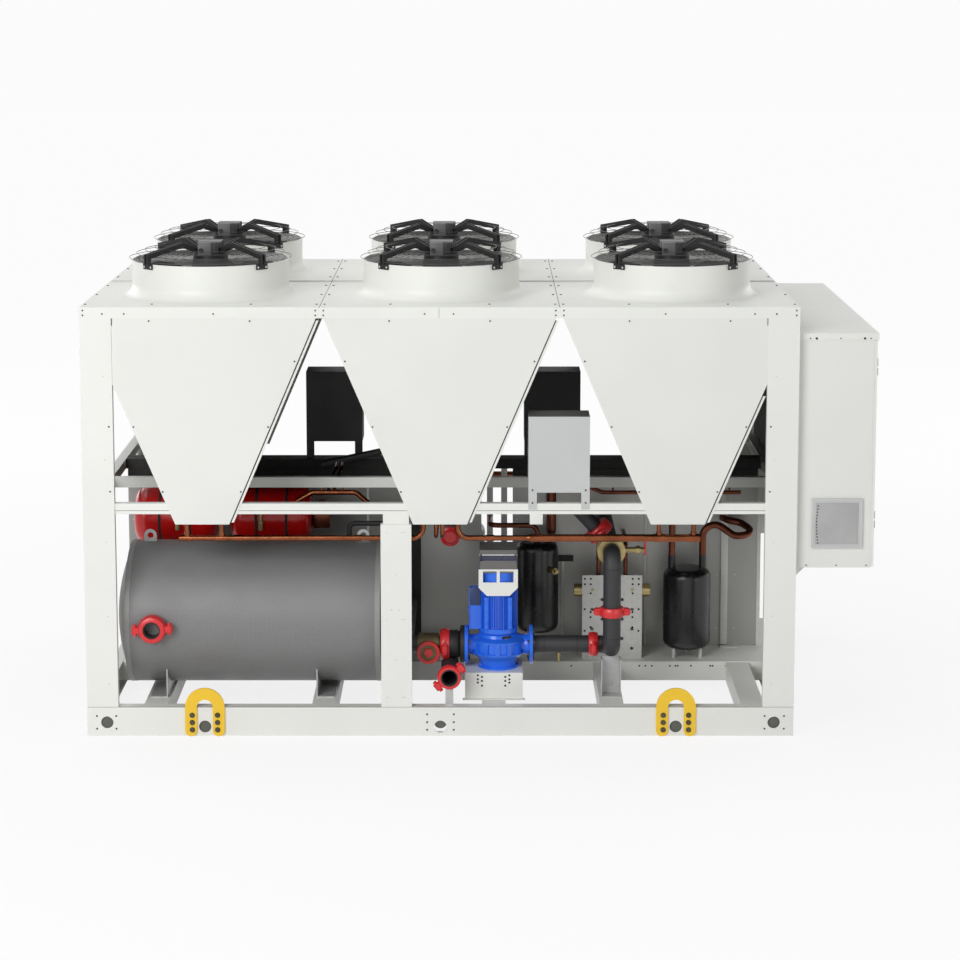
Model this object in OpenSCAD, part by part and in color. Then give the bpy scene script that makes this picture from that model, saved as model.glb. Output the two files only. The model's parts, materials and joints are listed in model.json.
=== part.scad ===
// Air cooled water chiller, millimetres: three fan modules over V-shaped coils on an
// open frame, with the water tank, pump and refrigerant parts below and an electric
// cabinet on the right end. x runs along the unit, y to the back and z up. The origin
// is on the floor under the middle of the whole unit.

/* [Frame] */
// Length of one fan module
module_len = 1190; // [1150:5:1300]
// Depth of the frame, front to back
frame_depth = 2200; // [2140:10:2400]
// Height of the fan deck's top face
deck_z = 2186; // [2150:1:2300]
// Thickness of the folded sheet
sheet = 4; // [3:0.5:5]
// Width of a corner post's front face
post_w = 158; // [120:1:170]
// Depth of a corner post's side face
post_d = 180; // [140:1:220]
// Depth of the lip folded back from a post's inner edge
post_lip = 40; // [30:1:42]
// Width of a centre post
centre_post_w = 154; // [120:1:170]
// Distance from the frame's left end to the centre posts
centre_post_at = 1487; // [1470:1:1500]

/* [Base] */
// Height of the base rails
base_h = 150; // [130:1:170]
// Width of the base rails' flanges
base_flange = 60; // [50:1:70]
// Thickness of the base rails
base_t = 5; // [4:0.5:7]
// Radius of the round holes in the rails
rail_hole_r = 31; // [20:1:34]
// Height of the round holes under the fan columns
rail_hole_z = 48; // [42:1:60]
// Height of the round holes at the corners
corner_hole_z = 70; // [50:1:90]
// Distance from the frame's ends to the corner holes
corner_hole_at = 100; // [80:1:130]
// Width of the middle rail and the cross members
cross_w = 120; // [90:1:130]
// Height of the middle rail and the cross members
cross_h = 100; // [70:1:110]
// Place of the middle rail's centre line, from the unit's centre line
middle_rail_y = -165; // [-190:1:-150]

/* [Lifting plates] */
// Overall width of a lifting plate
lift_w = 200; // [180:1:220]
// Overall height of a lifting plate
lift_h = 250; // [230:1:260]
// Thickness of a lifting plate
lift_t = 10; // [8:1:14]
// Width of the slot in a lifting plate
lift_slot = 80; // [70:1:100]

/* [Beams] */
// Height of the beams' underside
beam_z = 1142; // [1120:1:1160]
// Height of a beam
beam_h = 54; // [40:1:60]
// Width of the front, second and rear beams
beam_w = 40; // [35:1:50]
// Place of the second beam's front face
second_beam_y = -415; // [-430:1:-400]
// Width of the beam over the partition
partition_beam_w = 115; // [80:1:130]
// Width of the end beams
end_beam_w = 50; // [40:1:60]
// Height of the rear beam's underside
rear_beam_z = 966; // [940:1:980]
// Place of the partition's front face
partition_y = 110; // [100:1:130]

/* [Deck] */
// Height of the fascias
fascia_h = 51; // [45:1:60]
// Gap between neighbouring deck panels
deck_seam = 2; // [1:0.5:4]
// Gap between the front and the rear row of deck panels
row_gap = 40; // [20:1:50]
// Width of the rail under that gap
centre_rail_w = 60; // [55:1:80]
// Width of the bearers under the seams
bearer_w = 30; // [24:1:40]

/* [Fans] */
// Place of the fan rows, from the unit's centre line
fan_row_y = 510; // [500:1:530]
// Outer radius of the shroud
shroud_r = 402; // [390:1:410]
// Radius of the flare where the shroud meets the deck
flare = 58; // [40:1:60]
// Height of the shroud over the deck
shroud_h = 180; // [160:1:200]
// Wall of the shroud
shroud_wall = 4; // [3:0.5:5]
// Running gap between the blade tips and the shroud
tip_gap = 10; // [6:1:16]
// Number of blades
blade_count = 5; // [4:1:6]
// Thickness of a blade
blade_t = 5; // [4:0.5:8]
// Pitch angle of the blades
blade_pitch = 25; // [20:1:27]
// Radius of the blades' camber
blade_camber_r = 350; // [320:5:500]
// Radius of the rotor's hub
hub_r = 95; // [85:1:105]
// Height of the rotor's hub
hub_h = 96; // [90:1:110]
// Radius of the rotor's shaft
shaft_r = 20; // [15:1:30]
// Radial clearance of the shaft in the motor
shaft_clearance = 0.3; // [0.2:0.05:0.5]
// Gap between the hub and the motor
hub_gap = 6; // [5:1:10]
// Radius of the fan motor
motor_r = 90; // [80:1:95]
// Height of the fan motor
motor_h = 50; // [45:1:60]
// Width of the motor's carrying arms
arm_w = 30; // [24:1:34]
// Thickness of the motor's carrying arms
arm_t = 22; // [16:1:24]
// Height of the arms' peak over the shroud's rim
arm_rise = 96; // [90:1:110]

/* [Condenser] */
// Half width of a V at the foot of its end panel
v_foot = 135; // [120:1:140]
// Height of the foot of the end panels
v_foot_z = 1090; // [1070:1:1110]
// Gap from a V's edge to the seam between the columns, at the fascia's foot
v_gap = 18; // [17:1:35]
// Width of a coil, measured along the unit
coil_w = 87; // [60:1:95]
// Distance from the frame's front to the coils' front ends
coil_inset = 45; // [44:1:60]
// Distance that the end panels reach up behind the fascia
panel_tuck = 20; // [10:1:20]

/* [Cabinet] */
// Width of the cabinet with its doors and fittings
cabinet_w = 400; // [360:1:450]
// Depth of the cabinet
cabinet_d = 2100; // [2000:10:2120]
// Height of the cabinet's underside
cabinet_z = 859; // [840:1:900]
// Height of the top of the cabinet's roof
roof_z = 2050; // [2000:1:2080]
// Height of the roof's skirt
roof_skirt = 33; // [25:1:45]
// Overhang of the roof to the front and the back
roof_overhang = 8; // [5:1:14]
// Thickness of the roof sheet
roof_t = 6; // [4:1:10]
// Thickness of the doors
door_t = 15; // [12:1:18]
// Depth of the hinges and handles on the doors
fitting_t = 5; // [4:1:8]
// Size of the vent filter
vent_size = 254; // [230:1:270]
// Height of the vent filter's lower edge
vent_z = 961; // [930:1:1000]
// Depth of the vent filter
vent_t = 14; // [10:1:20]

/* [Tank] */
// Outer radius of the tank
tank_r = 365; // [340:1:375]
// Wall of the tank
tank_wall = 6; // [4:0.5:10]
// Length of the tank's cylinder
tank_len = 1272; // [1200:1:1280]
// Distance from the frame's left end to the tank's cylinder
tank_at = 192; // [185:1:200]
// Depth of the dished ends
dish = 80; // [60:1:82]
// Place of the tank's axis, from the unit's centre line
tank_y = -640; // [-650:1:-625]
// Height of the tank's axis
tank_z = 539; // [530:1:560]
// Distances from the frame's left end to the two saddles
saddle_at = [340, 1192];
// Width of a saddle
saddle_w = 90; // [60:1:110]
// Depth of a saddle
saddle_d = 540; // [400:5:560]
// Gap between curved faces that seat on each other
seat_gap = 0.3; // [0.2:0.05:0.5]

/* [Pipes] */
// Outer radius of the water pipes
pipe_r = 44.45; // [40:0.05:48]
// Wall of the water pipes
pipe_wall = 4; // [3:0.5:6]
// Bend radius of the pipes
bend_r = 65; // [60:1:66]
// Outer radius of a grooved coupling
coupling_r = 60; // [58:1:61]
// Length of a grooved coupling
coupling_len = 48; // [40:1:52]
// Width of the gasket's lip inside a coupling
gasket_lip = 4; // [3:0.5:6]
// Width over a coupling's bolt ears
coupling_ears = 190; // [170:1:200]
// Distance from the frame's left end to the tank's water stub
tank_stub_at = 328; // [310:1:340]
// Distance from the frame's left end to the front water stub
front_stub_at = 1830; // [1826:1:1834]
// Height of the front water stub
front_stub_z = 292; // [288:1:293]
// Distance from the frame's front to the stubs' outer ends
stub_inset = 50; // [40:1:60]
// Distance from the frame's left end to the riser
riser_at = 2657; // [2640:1:2670]
// Height of the riser's top pipe
riser_top_z = 893; // [860:1:900]
// Height of the red clamp on the riser
riser_clamp_z = 602; // [560:1:640]
// Radius of the insulated pipe
insulated_r = 45; // [42:1:48]

/* [Pump] */
// Distance from the frame's left end to the pump's axis
pump_at = 2078; // [2074:1:2084]
// Place of the pump's axis, from the unit's centre line
pump_y = -800; // [-805:1:-795]
// Height of the pump's flange axis
pump_z = 398; // [396:1:402]
// Length over the pump's flanges
pump_len = 352; // [346:1:356]
// Radius of the pump's flanges
pump_flange_r = 100; // [95:1:104]
// Thickness of the pump's flanges
pump_flange_t = 20; // [16:1:24]
// Radius of the volute
volute_r = 139; // [130:1:142]
// Height of the pump's stand
stand_h = 139; // [130:1:142]
// Length of the pump's stand
stand_len = 295; // [280:1:300]
// Depth of the pump's stand
stand_d = 280; // [270:1:300]
// Radius of the pump motor over its fins
pump_motor_r = 100; // [92:1:104]
// Depth of the pump motor's fins
pump_fin = 14; // [8:1:18]
// Number of fins round the pump motor
pump_fins = 24; // [16:1:28]
// Height of the pump motor's foot
pump_motor_z = 473; // [470:1:480]
// Height of the pump motor
pump_motor_h = 322; // [310:1:330]
// Height of the frequency inverter on the pump motor
inverter_h = 120; // [100:1:130]

/* [Refrigerant] */
// Radius of the left liquid receiver
receiver_1_r = 114; // [100:1:120]
// Radius of the right liquid receiver
receiver_2_r = 128; // [110:1:132]
// Height of the copper headers
header_z = 1000; // [985:1:1010]
// Radius of the left copper header
header_1_r = 14; // [10:1:18]
// Radius of the right copper header
header_2_r = 19; // [14:1:24]
// Radius of the copper risers
copper_r = 11; // [8:1:12]
// Radius of the filter drier
drier_r = 35; // [25:1:40]
// Length of the filter drier
drier_len = 410; // [380:1:420]
// Width of the drier's perforated plate
drier_plate_w = 323; // [300:1:340]
// Height of the drier's perforated plate
drier_plate_h = 458; // [430:1:470]
// Radius of the red expansion vessels
vessel_r = 160; // [140:1:165]
// Length of the red expansion vessels
vessel_len = 430; // [400:1:436]
// Radius of the compressors
compressor_r = 125; // [100:1:130]
// Height of the compressors
compressor_h = 560; // [500:5:640]

/* [Drives] */
// Width of a drive box
drive_w = 306; // [280:1:320]
// Depth of a drive box
drive_d = 190; // [160:1:200]
// Height of a drive box
drive_h = 385; // [360:1:395]
// Width of a drive box's legs
drive_leg_w = 42; // [30:1:60]

/* [Hidden] */
$fn = 64;
columns = 3;
over = 1;
frame_len = columns * module_len;
unit_len = frame_len + cabinet_w;
x0 = -unit_len / 2;
x1 = x0 + frame_len;
frame_mid_x = (x0 + x1) / 2;
yf = -frame_depth / 2;
yb = frame_depth / 2;
frame_top = deck_z - sheet;
fascia_z = frame_top - fascia_h;
cross_top = base_h - base_t;
beam_top = beam_z + beam_h;
panel_y = yf + sheet;
beam_y = panel_y + sheet;
bearer_z = fascia_z + panel_tuck;
post_x0 = x0 + post_w;
post_x1 = x1 - post_w;
v_slope = (module_len / 2 - v_gap - v_foot) / (fascia_z - v_foot_z);
shroud_top = deck_z + shroud_h;
shroud_in = shroud_r - shroud_wall;
tip_r = shroud_in - tip_gap;
motor_z = shroud_top - 14;
motor_top = motor_z + motor_h;
hub_top = motor_z - hub_gap;
hub_z = hub_top - hub_h;
arm_ring_h = 10;
cabinet_x1 = x1 + cabinet_w;
door_x = cabinet_x1 - fitting_t - door_t;
cabinet_top = roof_z - roof_t;
tray_top = cross_top + sheet;
tank_x0 = x0 + tank_at;
tank_x1 = tank_x0 + tank_len;
dish_r = (tank_r * tank_r + dish * dish) / (2 * dish);
tank_stub_x = x0 + tank_stub_at;
front_stub_x = x0 + front_stub_at;
stub_y = yf + stub_inset;
pump_x = x0 + pump_at;
pump_x0 = pump_x - pump_len / 2 + 3;
pump_x1 = pump_x0 + pump_len;
riser_x = x0 + riser_at;
riser_y = pump_y - 2 * bend_r;
// Joint along the suction line: rubber joint, coupling, strainer and elbow
rubber_len = 77;
strainer_len = 118;
suction_x = pump_x0 - rubber_len - coupling_len;
elbow_x = suction_x - strainer_len;
receiver_y = -100;
receiver_1 = [x0 + 2295, receiver_y, 291];
receiver_1_h = 494;
receiver_2 = [x0 + 3106, receiver_y, 201];
receiver_2_h = 437;
drier_plate_x = x0 + 2537;
drier_plate_y = -150;
drier_z = 518;
// Branch pipe leaning up and to the left from the discharge line
branch_at = [riser_x, pump_y + 200, riser_top_z];
branch_lean = -43;
branch_len = 235;
branch_r = 38;
capped_x = x0 + 1827;
capped_y = -330;
capped_z = 857;
header_y = yf + 100;
riser_reach = v_half(beam_top) - coil_w - copper_r / 2;
header_turn = 50;
gas_r = 18;
hung_z = beam_z - 30;
drier_y = drier_plate_y + drier_r + seat_gap;
// Black sleeves on the right receiver, with a copper pipe on each
sleeve_dx = 83;
sleeve_h = 72;
sleeve_r = 20;
vessel_y = -200;
vessel_z = 950;
vessel_at = [146, 658];
compressor_y = 600;
compressor_at = [500, 1250, 1890, 3000];
compressor_rail_h = 30;
cross_at = [saddle_at[0], saddle_at[1], pump_at - 23, riser_at - 2, 3370];

function column_x(i) = x0 + module_len * (i + 0.5);
function seam_x(i) = x0 + module_len * i;
// Half width of a V at a height
function v_half(z) = v_foot + (z - v_foot_z) * v_slope;

// A box between two corners
module block(a, b) {
    translate(a) cube(b - a);
}

module rod_x(at, len, r) {
    translate(at) rotate([0, 90, 0]) cylinder(h = len, r = r);
}

module rod_y(at, len, r) {
    translate(at) rotate([-90, 0, 0]) cylinder(h = len, r = r);
}

module rod_z(at, len, r) {
    translate(at) cylinder(h = len, r = r);
}

// A copy mirrored from front to back
module front_and_back() {
    children();
    mirror([0, 1, 0]) children();
}

// A copy mirrored from the frame's left end to its right end
module left_and_right() {
    children();
    translate([2 * frame_mid_x, 0, 0]) mirror([1, 0, 0]) children();
}

// An outline drawn in x and z, made solid from y_from to y_to
module extrude_y(y_from, y_to) {
    translate([0, y_to, 0]) rotate([90, 0, 0]) linear_extrude(y_to - y_from) children();
}

// A pipe bend in the plane of x and y, round the origin
module bend(r, turn = bend_r, angle = 90) {
    rotate_extrude(angle = angle) translate([turn, 0]) circle(r);
}

// A vertical vessel with rounded shoulders
module capsule(r, h, shoulder) {
    rotate_extrude() {
        square([r - shoulder, h]);
        translate([0, shoulder]) square([r, h - 2 * shoulder]);
        for (z = [shoulder, h - shoulder])
            translate([r - shoulder, z]) circle(shoulder);
    }
}

// Places its children at every fan
module at_fans() {
    for (row = [-1, 1], i = [0 : columns - 1])
        translate([column_x(i), row * fan_row_y, 0]) children();
}

module base_long_rails() {
    color("white") front_and_back() difference() {
        block([x0, yf, 0], [x1, yf + base_flange, base_h]);
        block([x0 - over, yf + base_t, base_t], [x1 + over, yf + base_flange + over, base_h - base_t]);
        for (i = [0 : columns - 1])
            rod_y([column_x(i), yf - over, rail_hole_z], base_t + 2 * over, rail_hole_r);
        for (x = [x0 + corner_hole_at, x1 - corner_hole_at])
            rod_y([x, yf - over, corner_hole_z], base_t + 2 * over, rail_hole_r);
    }
}

module base_end_rails() {
    color("white") left_and_right() difference() {
        block([x0, yf + base_flange, 0], [x0 + base_flange, yb - base_flange, base_h]);
        block([x0 + base_t, yf, base_t], [x0 + base_flange + over, yb, base_h - base_t]);
    }
}

module middle_base_rail() {
    color("white") difference() {
        block([x0 + base_t, middle_rail_y - cross_w / 2, cross_top - cross_h],
              [x1 - base_t, middle_rail_y + cross_w / 2, cross_top]);
        block([x0, middle_rail_y - cross_w / 2 + base_t, cross_top - cross_h - over],
              [x1, middle_rail_y + cross_w / 2 - base_t, cross_top - base_t]);
    }
}

// One cross member: a channel open to the floor
module cross_member(x, y_from, y_to) {
    difference() {
        block([x - cross_w / 2, y_from, cross_top - cross_h], [x + cross_w / 2, y_to, cross_top]);
        block([x - cross_w / 2 + base_t, y_from - over, cross_top - cross_h - over],
              [x + cross_w / 2 - base_t, y_to + over, cross_top - base_t]);
    }
}

module base_cross_members() {
    color("white") for (at = cross_at) {
        cross_member(x0 + at, yf + base_t, middle_rail_y - cross_w / 2);
        cross_member(x0 + at, middle_rail_y + cross_w / 2, yb - base_t);
    }
}

// Outline of a lifting plate: an arch with two round-ended legs
module lift_outline() {
    arch_z = lift_h - lift_w / 2;
    leg_r = (lift_w - lift_slot) / 4;
    difference() {
        union() {
            translate([-lift_w / 2, leg_r]) square([lift_w, arch_z - leg_r]);
            translate([0, arch_z]) circle(lift_w / 2);
            for (x = [leg_r - lift_w / 2, lift_w / 2 - leg_r])
                translate([x, leg_r]) circle(leg_r);
        }
        translate([-lift_slot / 2, -over]) square([lift_slot, arch_z + over]);
        translate([0, arch_z]) circle(lift_slot / 2);
    }
}

module lifting_plates() {
    color("gold") front_and_back() for (i = [0, columns - 1])
        translate([column_x(i), 0, 0]) extrude_y(yf - lift_t, yf) lift_outline();
}

// Section of a corner post: face, side and lip
module post_section() {
    polygon([
        [0, 0], [post_w, 0], [post_w, post_lip], [post_w - sheet, post_lip],
        [post_w - sheet, sheet], [sheet, sheet], [sheet, post_d], [0, post_d]
    ]);
}

module corner_posts() {
    color("white") front_and_back() left_and_right()
        translate([x0, yf, base_h]) linear_extrude(frame_top - base_h) post_section();
}

// A centre post: a channel open to the inside
module centre_post(top_z) {
    x = x0 + centre_post_at;
    difference() {
        block([x, yf, base_h], [x + centre_post_w, yf + post_lip, top_z]);
        block([x + sheet, yf + sheet, base_h - over],
              [x + centre_post_w - sheet, yf + post_lip + over, top_z - sheet]);
    }
}

module centre_posts() {
    x = x0 + centre_post_at;
    inset = 12;
    color("white") {
        // The front post's top bracket stands back from its face
        union() {
            centre_post(v_foot_z);
            block([x + inset, yf + inset, v_foot_z - sheet], [x + centre_post_w - inset, yf + post_lip, beam_z]);
        }
        mirror([0, 1, 0]) centre_post(rear_beam_z);
    }
}

// A beam along x: a channel open to the back
module long_beam(x_from, x_to, y, z, width) {
    difference() {
        block([x_from, y, z], [x_to, y + width, z + beam_h]);
        block([x_from - over, y + sheet, z + sheet],
              [x_to + over, y + width + over, z + beam_h - sheet]);
    }
}

module long_beams() {
    inner_x0 = x0 + end_beam_w;
    inner_x1 = x1 - end_beam_w;
    color("white") {
        long_beam(post_x0, post_x1, beam_y, beam_z, beam_w);
        long_beam(inner_x0, inner_x1, second_beam_y, beam_z, beam_w);
        long_beam(inner_x0, inner_x1, partition_y, beam_z, partition_beam_w);
        mirror([0, 1, 0]) long_beam(post_x0, post_x1, beam_y, rear_beam_z, beam_w);
    }
}

module end_beams() {
    color("white") left_and_right() difference() {
        block([x0, yf + post_d, beam_z], [x0 + end_beam_w, yb - post_d, beam_top]);
        block([x0 + sheet, yf, beam_z + sheet], [x0 + end_beam_w + over, yb, beam_top - sheet]);
    }
}

module partition_panels() {
    panel_gap = 4;
    upright_w = 33;
    upright_inset = 30;
    edges = [
        [x0 + base_flange, x0 + 1655],
        [x0 + 1655 + panel_gap, x0 + 1993],
        [x0 + 2164, x1 - base_flange]
    ];
    color("gainsboro") {
        for (e = edges)
            block([e[0], partition_y, cross_top], [e[1], partition_y + sheet, beam_z]);
        // Uprights in the open bay
        for (x = [edges[1][1] + upright_inset, edges[2][0] - upright_inset - upright_w])
            block([x, partition_y, cross_top], [x + upright_w, partition_y + upright_w, beam_z]);
    }
}

module floor_tray() {
    color("white") block([x0 + base_flange, middle_rail_y - cross_w / 2, cross_top],
                         [x1 - base_flange, partition_y, tray_top]);
}

module top_fascias() {
    color("white") {
        front_and_back()
            block([post_x0, yf, fascia_z], [post_x1, yf + sheet, frame_top]);
        left_and_right()
            block([x0, yf + post_d, fascia_z], [x0 + sheet, yb - post_d, frame_top]);
    }
}

module deck_bearers() {
    color("white") front_and_back() for (i = [1 : columns - 1])
        block([seam_x(i) - bearer_w / 2, yf + sheet, bearer_z],
              [seam_x(i) + bearer_w / 2, -centre_rail_w / 2, frame_top]);
}

module deck_centre_rail() {
    color("lightgray") block([x0 + sheet, -centre_rail_w / 2, bearer_z],
                             [x1 - sheet, centre_rail_w / 2, frame_top]);
}

// Section of a fan shroud: deck edge, flare, wall and rolled rim
module shroud_section() {
    rim = 2;
    flat = 6;
    translate([shroud_r + flare, deck_z + flare]) intersection() {
        difference() {
            circle(flare + shroud_wall);
            circle(flare);
        }
        translate([-2 * flare, -2 * flare]) square(2 * flare);
    }
    translate([shroud_in, deck_z + flare]) square([shroud_wall, shroud_h - flare]);
    translate([shroud_in - rim, shroud_top - 3 * rim]) square([shroud_wall + 2 * rim, 3 * rim]);
    translate([shroud_r + flare, deck_z - shroud_wall]) square([flat, shroud_wall]);
}

// One deck panel with its fan shroud
module fan_deck(n) {
    i = n % columns;
    row = n < columns ? -1 : 1;
    left = i == 0 ? x0 : seam_x(i) + deck_seam / 2;
    right = i == columns - 1 ? x1 : seam_x(i + 1) - deck_seam / 2;
    front = row < 0 ? yf : row_gap / 2;
    back = row < 0 ? -row_gap / 2 : yb;
    centre = [column_x(i), row * fan_row_y, 0];
    color("white") union() {
        difference() {
            block([left, front, deck_z - sheet], [right, back, deck_z]);
            rod_z(centre + [0, 0, deck_z - sheet - over], sheet + 2 * over, shroud_r + flare + 3);
        }
        translate(centre) rotate_extrude() shroud_section();
    }
}

// Plan of one blade: a sickle between the hub and the tip
module blade_plan() {
    intersection() {
        difference() {
            circle(tip_r);
            circle(hub_r - 8);
        }
        translate([240, -130]) circle(230);
        difference() {
            translate([0, -tip_r]) square([tip_r, 2 * tip_r]);
            translate([130, -480]) circle(420);
        }
    }
}

// One cambered blade: its plan cut from a thin cylindrical sheet
module blade() {
    low_z = hub_z - 20;
    mid_z = hub_z + 25;
    intersection() {
        translate([0, 0, low_z]) linear_extrude(hub_top - 4 - low_z) blade_plan();
        translate([0, -blade_camber_r * sin(blade_pitch), mid_z + blade_camber_r * cos(blade_pitch)])
            difference() {
                rod_x([0, 0, 0], tip_r + over, blade_camber_r + blade_t / 2);
                rod_x([-over, 0, 0], tip_r + 3 * over, blade_camber_r - blade_t / 2);
            }
    }
}

module fan_rotor(n) {
    i = n % columns;
    row = n < columns ? -1 : 1;
    shaft_len = hub_gap + motor_h - 12;
    color("dimgray") translate([column_x(i), row * fan_row_y, 0]) union() {
        rod_z([0, 0, hub_z], hub_h, hub_r);
        rod_z([0, 0, hub_top - over], shaft_len + over, shaft_r);
        for (k = [0 : blade_count - 1])
            rotate(k * 360 / blade_count) blade();
    }
}

// Outline of a carrying arm's bar, from the shroud's rim over its peak to the motor
module arm_outline() {
    foot_r = shroud_in - 1;
    outer_r = foot_r + arm_t + 2;
    knee_z = shroud_top + 50;
    peak_z = shroud_top + arm_rise;
    peak_r = 190;
    polygon([
        [foot_r, shroud_top], [outer_r, shroud_top], [outer_r, knee_z], [peak_r, peak_z],
        [motor_r, motor_top + arm_t], [motor_r / 2, motor_top + arm_t], [motor_r / 2, motor_top],
        [motor_r, motor_top], [peak_r, peak_z - arm_t - 4], [foot_r, knee_z - arm_t]
    ]);
}

module motor_spiders() {
    arm_bar = 9;
    foot_gap = 3;
    foot_w = 73;
    foot_h = 26;
    color("black") at_fans() {
        rod_z([0, 0, motor_top], arm_ring_h, motor_r - 4);
        for (a = [45 : 90 : 315])
            rotate(a) {
                for (y = [-arm_w / 2, arm_w / 2 - arm_bar])
                    extrude_y(y, y + arm_bar) arm_outline();
                // Bracket plate on the outside of the rim
                block([shroud_r + foot_gap, -foot_w / 2, shroud_top - foot_h],
                      [shroud_r + foot_gap + sheet, foot_w / 2, shroud_top + sheet]);
            }
    }
}

module fan_motors() {
    box = [120, 110, 34];
    color("dimgray") at_fans() {
        difference() {
            rod_z([0, 0, motor_z], motor_h, motor_r);
            rod_z([0, 0, motor_z - over], motor_h - 10 + over, shaft_r + shaft_clearance);
        }
        // Electronics box on the spider's ring
        translate([-box[0] / 2, -box[1] / 2, motor_top + arm_t]) cube(box);
    }
}

// Section of one coil, leaning out from the V's foot
module coil_section() {
    polygon([
        [v_half(beam_top) - coil_w, beam_top], [v_half(beam_top), beam_top],
        [v_half(bearer_z), bearer_z], [v_half(bearer_z) - coil_w, bearer_z]
    ]);
}

module condenser_coils() {
    color("darkslategray") for (i = [0 : columns - 1], side = [0, 1])
        translate([column_x(i), 0, 0]) mirror([side, 0, 0])
            extrude_y(yf + coil_inset, yb - coil_inset) coil_section();
}

// One V end panel with the flanges folded back along its slanting edges
module v_end_panel(i) {
    translate([column_x(i), 0, 0]) {
        extrude_y(panel_y, panel_y + sheet) polygon([
            [-v_foot, v_foot_z], [v_foot, v_foot_z],
            [v_half(bearer_z), bearer_z], [-v_half(bearer_z), bearer_z]
        ]);
        for (side = [0, 1])
            mirror([side, 0, 0]) extrude_y(panel_y, yf + coil_inset) polygon([
                [v_half(beam_top) - sheet, beam_top], [v_half(beam_top), beam_top],
                [v_half(bearer_z), bearer_z], [v_half(bearer_z) - sheet, bearer_z]
            ]);
    }
}

module v_end_panels() {
    color("whitesmoke") front_and_back() for (i = [0 : columns - 1])
        intersection() {
            v_end_panel(i);
            block([post_x0, yf, 0], [post_x1, yf + coil_inset, frame_top]);
        }
}

module cabinet_body() {
    color("whitesmoke") block([x1, -cabinet_d / 2, cabinet_z], [door_x, cabinet_d / 2, cabinet_top]);
}

module cabinet_roof() {
    color("white") difference() {
        block([x1, -cabinet_d / 2 - roof_overhang, roof_z - roof_skirt],
              [cabinet_x1, cabinet_d / 2 + roof_overhang, roof_z]);
        block([x1 - over, -cabinet_d / 2, roof_z - roof_skirt - over],
              [door_x + door_t, cabinet_d / 2, cabinet_top]);
    }
}

module cabinet_doors() {
    door_gap = 3;
    color("whitesmoke") front_and_back()
        block([door_x, -cabinet_d / 2 + door_gap, cabinet_z + door_gap],
              [door_x + door_t, -door_gap, roof_z - roof_skirt - door_gap]);
}

module cabinet_fittings() {
    hinge_y = -cabinet_d / 2 + 12;
    color("gray") front_and_back() {
        for (z = [1077, 1126, 1854, 1901])
            block([door_x + door_t, hinge_y, z - 18], [cabinet_x1, hinge_y + 22, z + 18]);
        block([door_x + door_t, -80, 1479], [cabinet_x1, -50, 1679]);
    }
}

module cabinet_vent() {
    x = x1 + 79;
    rim = 10;
    slot_h = 8;
    slots = 12;
    y = -cabinet_d / 2;
    color("silver") difference() {
        block([x, y - vent_t, vent_z], [x + vent_size, y, vent_z + vent_size]);
        block([x + rim, y - vent_t - over, vent_z + rim],
              [x + vent_size - rim, y - vent_t + 3, vent_z + vent_size - rim]);
        for (k = [0 : slots - 1])
            block([x + 2 * rim, y - vent_t, vent_z + 2 * rim + k * 2.2 * slot_h],
                  [x + 5 * rim, y - vent_t / 2, vent_z + 2 * rim + (k * 2.2 + 1) * slot_h]);
    }
}

module cabinet_brackets() {
    reach = 60;
    color("white") front_and_back()
        extrude_y(-cabinet_d / 2 + 40, -cabinet_d / 2 + 40 + sheet)
            polygon([[x1, cabinet_z], [x1 + reach, cabinet_z], [x1, cabinet_z - reach]]);
}

module tank_shell() {
    color("gray") difference() {
        rod_x([tank_x0, tank_y, tank_z], tank_len, tank_r);
        rod_x([tank_x0 - over, tank_y, tank_z], tank_len + 2 * over, tank_r - tank_wall);
    }
}

// A dished end bulging to +x, its rim at x = 0
module dished_end() {
    dish_fn = 240;
    rotate([0, 90, 0]) rotate_extrude() intersection() {
        translate([0, dish - dish_r]) difference() {
            circle(dish_r, $fn = dish_fn);
            circle(dish_r - tank_wall, $fn = dish_fn);
        }
        square([tank_r + over, dish + over]);
    }
}

module tank_ends() {
    color("gray") {
        translate([tank_x1, tank_y, tank_z]) dished_end();
        translate([tank_x0, tank_y, tank_z]) mirror([1, 0, 0]) dished_end();
    }
}

module tank_saddles() {
    lug_inset = 84;
    lug_r = 32;
    lug_t = 12;
    saddle_t = 6;
    // Saddles: upright plates on feet that point away from each other
    color("silver") for (k = [0, 1])
        translate([x0 + saddle_at[k], tank_y, cross_top]) mirror([k, 0, 0]) difference() {
            union() {
                block([-saddle_w / 2, -saddle_d / 2, 0], [saddle_w / 2, saddle_d / 2, saddle_t]);
                block([saddle_w / 2 - saddle_t, -saddle_d / 2, 0],
                      [saddle_w / 2, saddle_d / 2, tank_z - cross_top - tank_r * 0.6]);
            }
            rod_x([-saddle_w, 0, tank_z - cross_top], 2 * saddle_w, tank_r + seat_gap);
        }
    // Lifting lugs on the tank's back
    color("silver") for (x = [tank_x0 + lug_inset, tank_x1 - lug_inset])
        difference() {
            translate([x, 0, tank_z + tank_r]) extrude_y(tank_y - lug_t / 2, tank_y + lug_t / 2)
                difference() {
                    union() {
                        translate([-lug_r, -lug_r]) square([2 * lug_r, 2 * lug_r]);
                        translate([0, lug_r]) circle(lug_r);
                    }
                    translate([0, lug_r]) circle(lug_r / 2);
                }
            rod_x([x - 2 * lug_r, tank_y, tank_z], 4 * lug_r, tank_r + seat_gap);
        }
}

// A water pipe along +y with an open front end
module stub(at, len) {
    difference() {
        rod_y(at, len, pipe_r);
        rod_y(at - [0, over, 0], len + 2 * over, pipe_r - pipe_wall);
    }
}

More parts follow.
